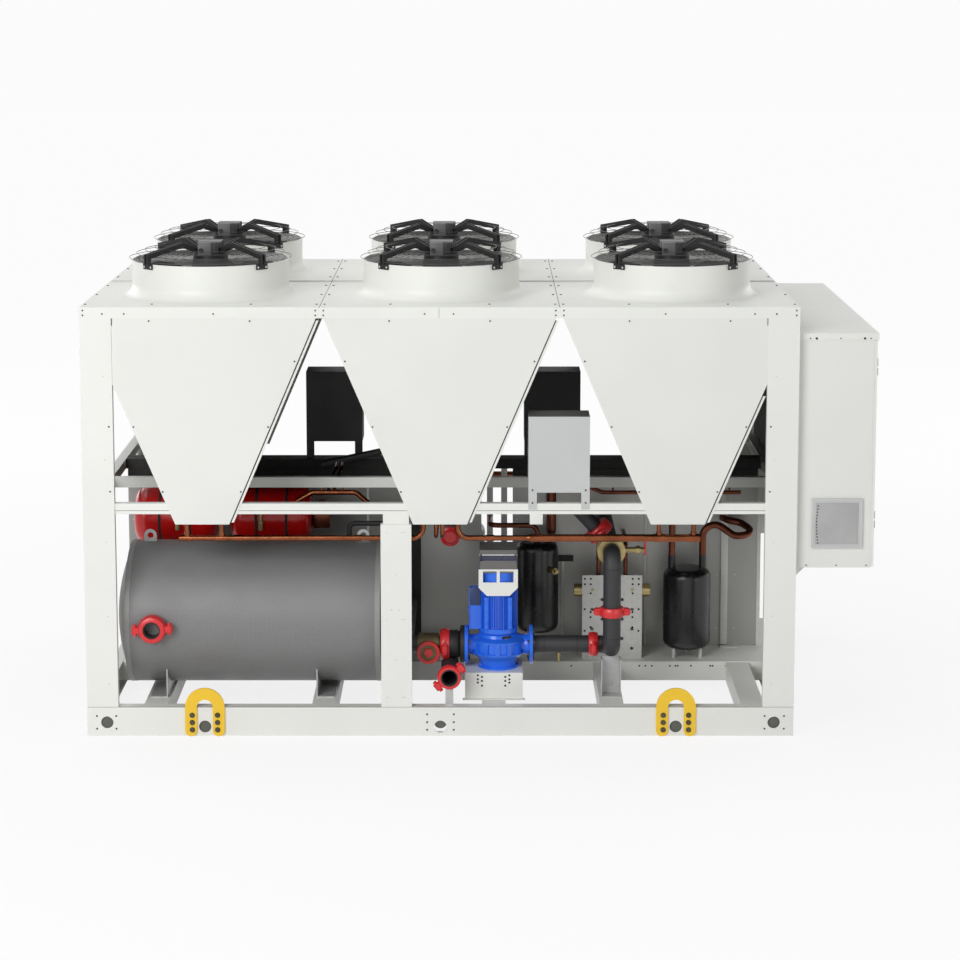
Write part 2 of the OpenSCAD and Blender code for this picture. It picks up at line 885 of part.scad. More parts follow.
module water_stubs() {
    y = stub_y + gasket_lip / 2;
    color("dimgray") {
        difference() {
            stub([tank_stub_x, y, tank_z], tank_y - y);
            rod_x([tank_x0, tank_y, tank_z], tank_len, tank_r + seat_gap);
        }
        // The front stub ends under the suction line, in a closed end
        union() {
            stub([front_stub_x, y, front_stub_z], pump_y + pipe_r - y);
            rod_y([front_stub_x, pump_y + pipe_r - over, front_stub_z], pipe_wall + over, pipe_r);
        }
    }
}

// A grooved pipe coupling along +z, centred on the origin, with two bolt ears
module coupling_body(ring) {
    ear_h = 34;
    ear_t = 30;
    rod_z([0, 0, -coupling_len / 2], coupling_len, ring);
    block([-coupling_ears / 2, -ear_t / 2, -ear_h / 2], [coupling_ears / 2, ear_t / 2, ear_h / 2]);
}

// A coupling round a pipe that runs through it
module inline_coupling(r) {
    difference() {
        coupling_body(coupling_r + r - pipe_r);
        rod_z([0, 0, -coupling_len], 2 * coupling_len, r + seat_gap);
    }
}

// A coupling on a stub's end: the gasket's lip inside stops both pipes
module end_coupling() {
    difference() {
        coupling_body(coupling_r);
        rod_z([0, 0, -coupling_len], coupling_len - gasket_lip / 2, pipe_r + seat_gap);
        rod_z([0, 0, gasket_lip / 2], coupling_len, pipe_r + seat_gap);
        rod_z([0, 0, -coupling_len], 2 * coupling_len, pipe_r - pipe_wall);
    }
}

module pipe_couplings() {
    color("red") {
        translate([tank_stub_x, stub_y, tank_z]) rotate([90, -3, 0]) end_coupling();
        translate([front_stub_x, stub_y, front_stub_z]) rotate([90, -40, 0]) end_coupling();
        translate([suction_x + coupling_len / 2, pump_y, pump_z]) rotate([0, 90, 0]) rotate(90)
            inline_coupling(pipe_r);
        translate([riser_x - bend_r - coupling_len / 2, pump_y, pump_z]) rotate([0, 90, 0]) rotate(90)
            inline_coupling(insulated_r);
        translate([riser_x, riser_y, riser_clamp_z]) inline_coupling(insulated_r);
        translate(branch_at) rotate([0, branch_lean, 0]) translate([0, 0, branch_len / 3])
            rotate(90) inline_coupling(branch_r);
        // Capped branch in front of the partition
        union() {
            rod_y([capped_x, capped_y, capped_z], coupling_len, coupling_r - 8);
            rod_y([capped_x, capped_y - 12, capped_z], 12 + over, coupling_r - 24);
            rod_y([capped_x, capped_y, capped_z], partition_y - capped_y, pipe_r - 10);
        }
    }
}

module pump_stand() {
    y = pump_y - stand_d / 2;
    x = pump_x - stand_len / 2 - 22;
    color("white") difference() {
        block([x, y, cross_top], [x + stand_len, y + stand_d, cross_top + stand_h]);
        block([x + sheet, y + sheet, cross_top - over],
              [x + stand_len - sheet, y + stand_d - sheet, cross_top + stand_h - sheet]);
    }
}

module pump_casing() {
    foot_z = cross_top + stand_h;
    ring_h = 120;
    shoulder = 40;
    throat_r = 62;
    stool_r = 95;
    color("blue") union() {
        translate([pump_x, pump_y, foot_z]) capsule(volute_r, ring_h, shoulder);
        rod_z([pump_x, pump_y, foot_z + ring_h - over], pump_motor_z - foot_z - ring_h + over, stool_r);
        rod_x([pump_x0, pump_y, pump_z], pump_len, throat_r);
        for (x = [pump_x0, pump_x1 - pump_flange_t])
            rod_x([x, pump_y, pump_z], pump_flange_t, pump_flange_r);
    }
}

module pump_motor() {
    fin_t = 4;
    core_r = pump_motor_r - pump_fin;
    box = [64, 80, 210];
    color("blue") translate([pump_x, pump_y, pump_motor_z]) union() {
        cylinder(h = pump_motor_h, r = core_r);
        cylinder(h = 24, r = pump_motor_r);
        translate([0, 0, pump_motor_h - 60]) cylinder(h = 60, r = pump_motor_r);
        for (k = [0 : pump_fins - 1])
            rotate(k * 360 / pump_fins)
                block([core_r - 4, -fin_t / 2, 12], [pump_motor_r, fin_t / 2, pump_motor_h - 30]);
        translate([-core_r - box[0] + 8, -box[1] / 2, 15]) cube(box);
    }
}

module pump_inverter() {
    z = pump_motor_z + pump_motor_h;
    half = 95;
    face_y = pump_y - pump_motor_r - over;
    groove_h = 32;
    groove_d = 20;
    plate_half = half + 5;
    plate_h = 118;
    plate_lap = 20;
    corner = 42;
    window = [70, 58];
    color("darkgray") union() {
        difference() {
            block([pump_x - half, face_y, z], [pump_x + half, pump_y + half, z + inverter_h]);
            block([pump_x - half + sheet, face_y - over, z + inverter_h / 2],
                  [pump_x + half - sheet, face_y + groove_d, z + inverter_h / 2 + groove_h]);
        }
        // Front bracket with two windows and cut corners
        translate([pump_x, 0, z]) extrude_y(face_y - sheet, face_y) difference() {
            polygon([
                [-plate_half, plate_lap], [plate_half, plate_lap], [plate_half, corner - plate_h],
                [plate_half - corner, -plate_h], [corner - plate_half, -plate_h],
                [-plate_half, corner - plate_h]
            ]);
            for (x = [-window[0] - 8, 8])
                translate([x, 10 - window[1]]) square(window);
        }
    }
}

module suction_line() {
    strainer_r = 58;
    cap_len = 80;
    cap_t = 26;
    color("silver") union() {
        rod_x([pump_x0 - rubber_len, pump_y, pump_z], rubber_len, pipe_r + 8);
        rod_x([pump_x0 - rubber_len * 0.75, pump_y, pump_z], rubber_len / 3, pipe_r + 18);
        rod_x([pump_x0 - pump_flange_t, pump_y, pump_z], pump_flange_t, pump_flange_r - 4);
        rod_x([elbow_x, pump_y, pump_z], strainer_len + coupling_len + over, pipe_r);
        rod_x([elbow_x + 8, pump_y, pump_z], strainer_len - 16, strainer_r);
        rod_y([elbow_x + strainer_len / 2, pump_y - cap_len, pump_z - 20], cap_len, pipe_r);
        difference() {
            rod_y([elbow_x + strainer_len / 2, pump_y - cap_len - cap_t, pump_z - 20], cap_t + over, strainer_r);
            rod_y([elbow_x + strainer_len / 2, pump_y - cap_len - cap_t - over, pump_z - 20],
                  cap_t / 2 + over, strainer_r - 16);
        }
        rod_y([elbow_x + strainer_len / 2, pump_y - cap_len - cap_t, pump_z - 20], cap_t, 22);
        translate([elbow_x, pump_y + bend_r, pump_z]) rotate(180) bend(pipe_r);
        rod_y([elbow_x - bend_r, pump_y + bend_r, pump_z], partition_y - pump_y - bend_r, pipe_r);
    }
}

module discharge_line() {
    r = insulated_r;
    valve_len = 96;
    valve_r = 64;
    valve_y = riser_y + bend_r + 20 + valve_len / 2;
    stem_len = 172;
    color("dimgray") union() {
        rod_x([pump_x1, pump_y, pump_z], riser_x - bend_r - pump_x1, r);
        translate([riser_x - bend_r, pump_y - bend_r, pump_z]) bend(r);
        translate([riser_x, pump_y - bend_r, pump_z + bend_r]) rotate([-90, 0, -90]) bend(r);
        rod_z([riser_x, riser_y, pump_z + bend_r], riser_top_z - pump_z - 2 * bend_r, r);
        translate([riser_x, riser_y + bend_r, riser_top_z - bend_r]) rotate([90, 0, -90]) bend(r);
        rod_y([riser_x, riser_y + bend_r, riser_top_z], partition_y - riser_y - bend_r, r);
        // Ball valve behind the top bend, with its stem and lever to the right
        rod_y([riser_x, riser_y + bend_r + 20, riser_top_z], valve_len, valve_r);
        for (y = [20, 20 + valve_len - 18])
            rod_y([riser_x, riser_y + bend_r + y, riser_top_z], 18, valve_r + 8);
        rod_x([riser_x, valve_y, riser_top_z], stem_len, 14);
        block([riser_x + stem_len - over, valve_y - 9, riser_top_z - 27],
              [riser_x + stem_len + 7, valve_y + 9, riser_top_z + 45]);
        // Branch that leaves upwards
        translate(branch_at) rotate([0, branch_lean, 0]) cylinder(h = branch_len, r = branch_r);
    }
}

module liquid_receivers() {
    shoulder = 45;
    foot_r = 10;
    color("black") {
        translate(receiver_1) capsule(receiver_1_r, receiver_1_h, shoulder);
        union() {
            translate(receiver_2) capsule(receiver_2_r, receiver_2_h, shoulder);
            for (a = [90 : 120 : 330])
                translate([receiver_2[0], receiver_2[1], tray_top]) rotate(a)
                    rod_z([receiver_2_r - shoulder, 0, 0], receiver_2[2] - tray_top + 5, foot_r);
            // Sleeves under the copper pipes
            for (side = [-1, 1])
                rod_z(receiver_2 + [side * sleeve_dx, 0, receiver_2_h - 25], sleeve_h + 25, sleeve_r);
        }
    }
}

module drier_plate() {
    hole_r = 9;
    pitch = 54;
    color("lightgray") difference() {
        block([drier_plate_x, drier_plate_y - sheet, tray_top],
              [drier_plate_x + drier_plate_w, drier_plate_y, tray_top + drier_plate_h]);
        for (i = [1 : 5], k = [1 : 7])
            if ((i + k) % 2 == 0)
                rod_y([drier_plate_x + i * pitch, drier_plate_y - sheet - over, tray_top + k * pitch],
                      sheet + 2 * over, hole_r);
    }
}

module filter_drier() {
    color("peru")
        rod_x([drier_plate_x + drier_plate_w / 2 - drier_len / 2, drier_y, drier_z],
              drier_len, drier_r);
}

// Copper risers of one column, from a header up to the coils' feet
module copper_risers(i) {
    for (side = [-1, 1])
        rod_z([column_x(i) + side * riser_reach, header_y, header_z], beam_top - header_z, copper_r);
}

// A header from the left, bent up at its right end to the coil's foot
module header(len) {
    rod_x([-len, 0, -header_turn], len, header_1_r);
    rotate([90, 0, 0]) rotate(-90) bend(header_1_r, header_turn);
    rod_z([header_turn, 0, 0], beam_top - header_z - header_turn, header_1_r);
}

// A copper pipe that drops behind a V panel and runs back to the partition
module drop_pipe(x) {
    rod_z([x, header_y, header_z + header_turn], beam_z - header_z - header_turn, copper_r);
    translate([x, header_y + header_turn, header_z + header_turn]) bend_down_to_back(copper_r, header_turn);
    rod_y([x, header_y + header_turn, header_z], partition_y - header_y - header_turn, copper_r);
}

// A bend from straight down to straight back, round the origin
module bend_down_to_back(r, turn) {
    rotate([90, 0, -90]) rotate(-90) bend(r, turn);
}

// The swan neck on the right receiver: up, over to the right, down and back to the partition
module receiver_loop() {
    turn = 60;
    rise = 120;
    run = 150;
    rod_z([0, 0, 0], rise, gas_r);
    translate([turn, 0, rise]) rotate([90, 0, 0]) rotate(90) bend(gas_r, turn);
    rod_x([turn, 0, rise + turn], run, gas_r);
    translate([turn + run, 0, rise]) rotate([90, 0, 0]) bend(gas_r, turn);
    translate([2 * turn + run, turn, rise]) {
        bend_down_to_back(gas_r, turn);
        rod_y([0, 0, -turn], partition_y - receiver_y - turn, gas_r);
    }
}

// A pipe bent back to the partition at its top, its foot at the origin
module pipe_to_partition(h, r, turn, y) {
    rod_z([0, 0, 0], h, r);
    translate([0, turn, h]) rotate([90, 0, -90]) bend(r, turn);
    rod_y([0, turn, h + turn], partition_y - y - turn, r);
}

// A pipe under the second beam, hung from it
module hung_pipe(x_from, x_to, r) {
    y = second_beam_y + beam_w / 2;
    rod_x([x_from, y, hung_z], x_to - x_from, r);
    for (x = [x_from + 60, x_to - 60])
        rod_z([x, y, hung_z], beam_z - hung_z, r / 2);
}

module copper_headers() {
    sleeve_z = receiver_2[2] + receiver_2_h + sleeve_h;
    dark_turn = 50;
    yoke_turn = 60;
    yoke_x0 = x0 + 1091;
    yoke_x1 = x0 + 1320;
    hung_y = second_beam_y + beam_w / 2;
    color("sienna") {
        union() {
            translate([column_x(1) - riser_reach - header_turn, header_y, header_z + header_turn])
                header(module_len - riser_reach - header_turn + 127);
            copper_risers(0);
        }
        union() {
            translate([column_x(1) + riser_reach + header_turn, header_y, header_z + header_turn])
                mirror([1, 0, 0]) header(module_len - riser_reach - header_turn);
            rod_x([seam_x(2) - 145, header_y, header_z], module_len / 2 + 265, header_2_r);
            copper_risers(2);
        }
        for (dx = [-22, 10])
            drop_pipe(column_x(1) + dx);
        translate([receiver_2[0] + sleeve_dx, receiver_y, sleeve_z]) receiver_loop();
        translate([receiver_2[0] - sleeve_dx, receiver_y, sleeve_z])
            pipe_to_partition(330, gas_r, header_turn, receiver_y);
        // Pipes from the filter drier back to the partition
        for (dx = [-73, 73])
            translate([drier_plate_x + drier_plate_w / 2 + dx, drier_y, drier_z + drier_r + seat_gap])
                pipe_to_partition(190, copper_r, header_turn, drier_y);
        // Suction pipe that shows left of the discharge line
        translate([seam_x(2) - 5, partition_y - dark_turn, header_z - 20]) {
            translate([0, dark_turn, 0]) bend_down_to_back(gas_r + 8, dark_turn);
            pipe_to_partition(40, gas_r + 8, dark_turn, partition_y - dark_turn);
        }
        // Branching pipe under the second beam
        union() {
            hung_pipe(yoke_x0, yoke_x1, header_1_r);
            translate([yoke_x0, hung_y, hung_z - yoke_turn]) rotate([90, 0, 0]) rotate(90)
                bend(header_1_r, yoke_turn);
            translate([yoke_x1, hung_y, hung_z - yoke_turn]) rotate([90, 0, 0]) bend(header_1_r, yoke_turn);
        }
        hung_pipe(x0 + 2625, x0 + 3360, copper_r);
    }
}

module expansion_vessels() {
    shoulder = 70;
    color("red") for (at = vessel_at)
        translate([x0 + at, vessel_y, vessel_z]) rotate([0, 90, 0]) capsule(vessel_r, vessel_len, shoulder);
}

// A drive box on two legs, its front lower left corner at the origin
module drive_box(leg_h) {
    tuck = 10;
    translate([0, 0, leg_h]) cube([drive_w, drive_d, drive_h]);
    for (x = [0, drive_w - drive_leg_w])
        translate([x, 0, 0]) cube([drive_leg_w, sheet, leg_h + tuck]);
}

module drive_boxes() {
    front_leg = 86;
    rear_leg = 94;
    color("silver") {
        translate([seam_x(2) - drive_w / 2, panel_y, beam_top - 30]) drive_box(front_leg);
        for (i = [1, 2])
            translate([seam_x(i) - drive_w / 2, partition_y + 20, beam_top]) drive_box(rear_leg);
    }
}

module compressor_rails() {
    color("white") for (dy = [-90, 90])
        block([x0 + base_flange, compressor_y + dy - 25, cross_top],
              [x1 - base_flange, compressor_y + dy + 25, cross_top + compressor_rail_h]);
}

module compressors() {
    plate = 250;
    plate_t = 10;
    z = cross_top + compressor_rail_h;
    color("darkslategray") for (at = compressor_at)
        translate([x0 + at, compressor_y, z]) union() {
            block([-plate / 2, -plate / 2, 0], [plate / 2, plate / 2, plate_t]);
            translate([0, 0, plate_t - over]) capsule(compressor_r, compressor_h, compressor_r / 2);
        }
}

module evaporator() {
    size = [220, 250, 855];
    color("dimgray") translate([riser_x - size[0] / 2, partition_y + sheet + 30, cross_top]) cube(size);
}

module support_brackets() {
    stand_y = pump_y - bend_r;
    stand_top = pump_z - insulated_r - 12;
    color("lightgray") {
        // Bracket from the left receiver to the partition
        difference() {
            block(receiver_1 + [-40, 0, 200], [receiver_1[0] + 40, partition_y, receiver_1[2] + 240]);
            rod_z(receiver_1 - [0, 0, over], receiver_1_h, receiver_1_r + seat_gap);
        }
        // Brackets from the expansion vessels to the partition
        for (at = vessel_at, dx = [100, vessel_len - 100])
            difference() {
                block([x0 + at + dx - 20, vessel_y, vessel_z - 30], [x0 + at + dx + 20, partition_y, vessel_z + 30]);
                rod_x([x0 + at, vessel_y, vessel_z], vessel_len, vessel_r + seat_gap);
            }
        // Rest under the front water stub's coupling
        difference() {
            block([front_stub_x - 20, stub_y - 8, base_h], [front_stub_x + 20, stub_y, front_stub_z]);
            rod_y([front_stub_x, stub_y - 20, front_stub_z], 40, coupling_r + seat_gap);
        }
        // Stand under the riser's lower bend: a channel open to the front, with a window in its back
        difference() {
            block([riser_x - 50, stand_y - 40, cross_top], [riser_x + 50, stand_y + 40, stand_top]);
            block([riser_x - 50 + sheet, stand_y - 40 - over, cross_top + sheet],
                  [riser_x + 50 - sheet, stand_y + 40 - sheet, stand_top + over]);
            block([riser_x - 12, stand_y, cross_top + 44], [riser_x + 12, stand_y + 60, cross_top + 58]);
        }
    }
}

base_long_rails();
base_end_rails();
middle_base_rail();
base_cross_members();
lifting_plates();
corner_posts();
centre_posts();
long_beams();
end_beams();
partition_panels();
floor_tray();
top_fascias();
deck_bearers();
deck_centre_rail();
fan_deck(0);  // fan_deck_1
fan_deck(1);  // fan_deck_2
fan_deck(2);  // fan_deck_3
fan_deck(3);  // fan_deck_4
fan_deck(4);  // fan_deck_5
fan_deck(5);  // fan_deck_6
fan_rotor(0);  // fan_rotor_1
fan_rotor(1);  // fan_rotor_2
fan_rotor(2);  // fan_rotor_3
fan_rotor(3);  // fan_rotor_4
fan_rotor(4);  // fan_rotor_5
fan_rotor(5);  // fan_rotor_6
motor_spiders();
fan_motors();
condenser_coils();
v_end_panels();
cabinet_body();
cabinet_roof();
cabinet_doors();
cabinet_fittings();
cabinet_vent();
cabinet_brackets();
tank_shell();
tank_ends();
tank_saddles();
water_stubs();
pipe_couplings();
pump_stand();
pump_casing();
pump_motor();
pump_inverter();
suction_line();
discharge_line();
liquid_receivers();
drier_plate();
filter_drier();
copper_headers();
expansion_vessels();
drive_boxes();
compressor_rails();
compressors();
evaporator();
support_brackets();
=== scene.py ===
"""Looks of an air cooled water chiller: finishes, guards, screws and fittings on its CAD frame."""

import json
import logging
import math
from dataclasses import dataclass
from enum import Enum
from typing import Iterable, Sequence

import bmesh
import bpy
from mathutils import Matrix, Vector

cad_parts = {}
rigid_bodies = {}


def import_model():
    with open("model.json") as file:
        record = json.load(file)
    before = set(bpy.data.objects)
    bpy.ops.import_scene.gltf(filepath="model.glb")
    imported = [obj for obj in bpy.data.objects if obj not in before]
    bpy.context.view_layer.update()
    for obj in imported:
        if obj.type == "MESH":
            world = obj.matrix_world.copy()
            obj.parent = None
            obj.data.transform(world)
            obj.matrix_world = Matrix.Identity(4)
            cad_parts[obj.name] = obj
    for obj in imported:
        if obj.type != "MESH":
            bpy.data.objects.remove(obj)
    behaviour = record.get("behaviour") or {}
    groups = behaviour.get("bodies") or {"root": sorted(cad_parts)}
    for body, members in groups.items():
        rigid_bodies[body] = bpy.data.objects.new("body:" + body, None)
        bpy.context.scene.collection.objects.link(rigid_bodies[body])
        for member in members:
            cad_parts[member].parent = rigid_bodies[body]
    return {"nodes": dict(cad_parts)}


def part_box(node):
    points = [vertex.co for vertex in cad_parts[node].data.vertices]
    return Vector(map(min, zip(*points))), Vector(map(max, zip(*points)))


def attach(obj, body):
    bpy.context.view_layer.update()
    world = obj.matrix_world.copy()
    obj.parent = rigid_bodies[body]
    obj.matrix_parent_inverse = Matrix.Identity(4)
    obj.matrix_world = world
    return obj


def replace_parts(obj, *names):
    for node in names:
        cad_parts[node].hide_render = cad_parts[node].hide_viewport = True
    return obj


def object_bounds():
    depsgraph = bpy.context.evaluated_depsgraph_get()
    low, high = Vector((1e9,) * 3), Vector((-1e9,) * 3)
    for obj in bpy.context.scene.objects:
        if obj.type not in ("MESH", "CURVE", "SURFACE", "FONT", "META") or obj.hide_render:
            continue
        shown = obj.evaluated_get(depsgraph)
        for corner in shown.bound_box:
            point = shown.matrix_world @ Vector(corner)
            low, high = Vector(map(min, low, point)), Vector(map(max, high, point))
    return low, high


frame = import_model()
CAD_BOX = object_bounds()
LOG = logging.getLogger("chiller")
ROOT = "frame_and_plant"
X, Y, Z = Vector((1, 0, 0)), Vector((0, 1, 0)), Vector((0, 0, 1))
Point = Sequence[float]
FRONT, REAR, UP = (0, -1, 0), (0, 1, 0), (0, 0, 1)
# Places shared by several sub-assemblies, in metres: the middles of the coil pairs, the coils' foot, the
# tank's axis and the cabinet's screws. FAR lies past every part of the unit.
COLUMNS = (-1.39, -0.20, 0.99)
COIL_FOOT = 1.196
TANK_Y, TANK_Z = -0.64, 0.539
CABINET_SCREWS = (1.642, 1.793, 1.943)
FAR = 9.0


class Coat(Enum):
    """How a finish treats its surface."""

    PAINT = "paint"
    SPANGLE = "spangle"
    FINS = "fins"
    EMBOSSED = "embossed"
    METAL = "metal"
    PLASTIC = "plastic"
    FOAM = "foam"


def srgb(red: int, green: int, blue: int) -> tuple[float, float, float, float]:
    """Turns an 8-bit screen colour into a linear one.

    Args:
        red: Red, 0 to 255.
        green: Green, 0 to 255.
        blue: Blue, 0 to 255.
    Returns:
        The linear colour with full alpha.
    """
    def linear(value: int) -> float:
        """Linear value of one channel."""
        part = value / 255
        return part / 12.92 if part <= 0.04045 else ((part + 0.055) / 1.055) ** 2.4

    return linear(red), linear(green), linear(blue), 1.0


class Nodes:
    """A node tree, with short calls to add and link nodes."""

    def __init__(self, tree: bpy.types.NodeTree) -> None:
        """Keeps the tree."""
        self.tree, self.links = tree, tree.links

    def node(self, kind: str, inputs: dict | None = None, **settings: object) -> bpy.types.Node:
        """Adds a node.

        Args:
            kind: The node's type.
            inputs: Values or sockets for its inputs, by name or index.
            **settings: Values of its properties.
        Returns:
            The node.
        """
        made = self.tree.nodes.new(kind)
        for key, value in settings.items():
            setattr(made, key, value)
        for key, value in (inputs or {}).items():
            self.put(made.inputs[key], value)
        return made

    def put(self, socket: bpy.types.NodeSocket, value: object) -> None:
        """Links a socket to an input, or sets the input's own value.

        Args:
            socket: The input.
            value: Another node's socket, or a plain value.
        """
        if isinstance(value, bpy.types.NodeSocket):
            self.links.new(value, socket)
        else:
            socket.default_value = value

    def maths(self, operation: str, *values: object) -> bpy.types.NodeSocket:
        """One arithmetic step on values or sockets."""
        return self.node("ShaderNodeMath", dict(enumerate(values)), operation=operation).outputs[0]

    def ramp(self, value: bpy.types.NodeSocket, low: float, high: float, to_low: float,
             to_high: float) -> bpy.types.NodeSocket:
        """Maps a value from one range to another.

        Args:
            value: The value to map.
            low: Start of its range.
            high: End of its range.
            to_low: Result at the start.
            to_high: Result at the end.
        Returns:
            The mapped value.
        """
        made = self.node("ShaderNodeMapRange", {"Value": value, "From Min": low, "From Max": high,
                                                "To Min": to_low, "To Max": to_high})
        return made.outputs["Result"]

    def seen(self) -> bpy.types.NodeSocket:
        """One for rays from the camera, from gloss and through glass, nought for the rest.

        Returns:
            The ray's value.
        """
        path = self.node("ShaderNodeLightPath").outputs
        glossy = self.maths("MAXIMUM", path["Is Camera Ray"], path["Is Glossy Ray"])
        return self.maths("MAXIMUM", glossy, path["Is Transmission Ray"])


class Shader(Nodes):
    """A material's node tree round its main shader."""

    def __init__(self, name: str) -> None:
        """Makes the material and keeps its shader.

        Args:
            name: The material's name.
        """
        self.material = bpy.data.materials.new(name)
        self.material.use_nodes = True
        super().__init__(self.material.node_tree)
        self.bsdf = self.tree.nodes["Principled BSDF"]
        self.coords = self.node("ShaderNodeTexCoord").outputs["Object"]

    def scaled(self, stretch: Point) -> bpy.types.NodeSocket:
        """Object coordinates stretched along each axis."""
        return self.node("ShaderNodeMapping", {"Vector": self.coords, "Scale": stretch}).outputs[0]

    def noise(self, scale: float, detail: float = 3.0, stretch: Point | None = None) -> bpy.types.NodeSocket:
        """Noise on object coordinates.

        Args:
            scale: Number of bumps to a metre.
            detail: Octaves of detail.
            stretch: Stretch of the coordinates, or None.
        Returns:
            The noise's value.
        """
        vector = self.scaled(stretch) if stretch else self.coords
        made = self.node("ShaderNodeTexNoise", {"Vector": vector, "Scale": scale, "Detail": detail})
        return made.outputs["Fac"]

    def tint(self, value: bpy.types.NodeSocket, first: Point, second: Point) -> bpy.types.NodeSocket:
        """Blends two colours by a value."""
        made = self.node("ShaderNodeMix", {"Factor": value, "A": first, "B": second}, data_type="RGBA")
        return made.outputs["Result"]

    def feed(self, name: str, value: object) -> None:
        """Links or sets one of the shader's inputs."""
        self.put(self.bsdf.inputs[name], value)

    def bump(self, height: bpy.types.NodeSocket, strength: float, distance: float) -> None:
        """Feeds a height to the shader's normal."""
        made = self.node("ShaderNodeBump", {"Height": height, "Strength": strength, "Distance": distance})
        self.feed("Normal", made.outputs["Normal"])


def dimmer(colour: Point, share: float) -> tuple[float, float, float, float]:
    """A colour with its channels times a share."""
    return colour[0] * share, colour[1] * share, colour[2] * share, 1.0


@dataclass(frozen=True)
class Finish:
    """A surface finish of the unit."""

    name: str
    slot: str
    colour: tuple[float, float, float, float]
    coat: Coat = Coat.PAINT
    roughness: float = 0.45
    metallic: float = 0.0

    def material(self) -> bpy.types.Material:
        """The finish's material, made on its first use."""
        known = bpy.data.materials.get(self.name)
        return known if known else self.build()

    def build(self) -> bpy.types.Material:
        """Makes the material.

        Returns:
            The material with its node tree.
        """
        tree = Shader(self.name)
        tree.feed("Metallic", self.metallic)
        dress = {Coat.PAINT: self.paint, Coat.SPANGLE: self.spangle, Coat.FINS: self.fins,
                 Coat.EMBOSSED: self.embossed, Coat.METAL: self.metal, Coat.PLASTIC: self.plastic,
                 Coat.FOAM: self.foam}
        dress[self.coat](tree)
        return tree.material

    def paint(self, tree: Shader) -> None:
        """Paint: faint mottle and uneven gloss, with orange peel on the duller powder coats.

        Args:
            tree: The material's nodes.
        """
        mottle = tree.ramp(tree.noise(1.7, 4.0), 0.3, 0.7, 0.0, 1.0)
        tree.feed("Base Color", tree.tint(mottle, self.colour, dimmer(self.colour, 0.95)))
        gloss = tree.noise(9.0, 4.0)
        tree.feed("Roughness", tree.ramp(gloss, 0.2, 0.8, self.roughness - 0.06, self.roughness + 0.06))
        if self.roughness > 0.35:
            tree.bump(tree.noise(420.0, 2.0), 0.010, 0.002)

    def spangle(self, tree: Shader) -> None:
        """Zinc plate: crystal spangle in colour and gloss.

        Args:
            tree: The material's nodes.
        """
        cells = tree.node("ShaderNodeTexVoronoi", {"Vector": tree.coords, "Scale": 60.0})
        fleck = tree.node("ShaderNodeSeparateColor", {"Color": cells.outputs["Color"]}).outputs[0]
        tree.feed("Base Color", tree.tint(fleck, dimmer(self.colour, 0.95), dimmer(self.colour, 1.03)))
        tree.feed("Roughness", tree.ramp(fleck, 0.0, 1.0, self.roughness - 0.08, self.roughness + 0.1))
        tree.bump(tree.noise(90.0), 0.02, 0.002)

    def fins(self, tree: Shader) -> None:
        """Coil face: close upright fins and tube rows, painted darker in the gaps between them as painted
        shade.

        Args:
            tree: The material's nodes.
        """
        fin = tree.node("ShaderNodeTexWave", {"Vector": tree.coords, "Scale": 105.0}, bands_direction="Y")
        rows = tree.node("ShaderNodeTexWave", {"Vector": tree.coords, "Scale": 9.0}, bands_direction="Z")
        deep = tree.maths("MULTIPLY", fin.outputs["Fac"], rows.outputs["Fac"])
        # Painted shade and highlight: the colour goes dark in the gaps between fins and tube rows and light
        # on the fins.
        tree.feed("Base Color", tree.tint(deep, dimmer(self.colour, 0.45), dimmer(self.colour, 1.5)))
        tree.feed("Roughness", tree.ramp(deep, 0.0, 1.0, 0.75, 0.4))
        tree.bump(deep, 0.5, 0.004)

    def embossed(self, tree: Shader) -> None:
        """Stucco-embossed sheet: small raised dots in staggered rows, painted lighter on the dots and darker
        between them as painted highlight and painted shade.

        Args:
            tree: The material's nodes.
        """
        centre = tree.node("ShaderNodeVectorMath", {0: tree.coords, 1: (0.0, -TANK_Y, -TANK_Z)})
        part = tree.node("ShaderNodeSeparateXYZ", {"Vector": centre.outputs[0]}).outputs
        turn = tree.maths("ARCTAN2", part["Z"], part["Y"])
        along, across = (tree.maths("SINE", tree.maths("MULTIPLY", value, pitch))
                         for value, pitch in ((part["X"], 480.0), (turn, 175.0)))
        rise = tree.ramp(tree.maths("MULTIPLY", along, across), -0.2, 0.8, 0.0, 1.0)
        # Painted highlight and shade: the colour follows the dots' rise, lighter on top of them and darker
        # between them.
        tree.feed("Base Color", tree.tint(rise, dimmer(self.colour, 0.78), dimmer(self.colour, 1.4)))
        tree.feed("Roughness", tree.ramp(tree.noise(6.0), 0.3, 0.7, self.roughness - 0.05,
                                         self.roughness + 0.08))
        tree.bump(rise, 0.3, 0.0015)

    def metal(self, tree: Shader) -> None:
        """Bare metal: drawn grain with darker tarnish in patches.

        Args:
            tree: The material's nodes.
        """
        tarnish = tree.ramp(tree.noise(14.0, 5.0), 0.42, 0.72, 0.0, 0.8)
        tree.feed("Base Color", tree.tint(tarnish, self.colour, dimmer(self.colour, 0.55)))
        tree.feed("Roughness", tree.ramp(tree.noise(35.0, 4.0), 0.25, 0.75, self.roughness - 0.08,
                                         self.roughness + 0.14))
        tree.bump(tree.noise(260.0, 2.0), 0.02, 0.001)

    def plastic(self, tree: Shader) -> None:
        """Moulded plastic: fine grain and a slightly uneven sheen.

        Args:
            tree: The material's nodes.
        """
        grain = tree.noise(5.0)
        tree.feed("Base Color", tree.tint(grain, dimmer(self.colour, 0.9), dimmer(self.colour, 1.1)))
        tree.feed("Roughness", tree.ramp(tree.noise(40.0), 0.3, 0.7, self.roughness - 0.05,
                                         self.roughness + 0.08))
        tree.bump(tree.noise(900.0, 2.0), 0.08, 0.0008)

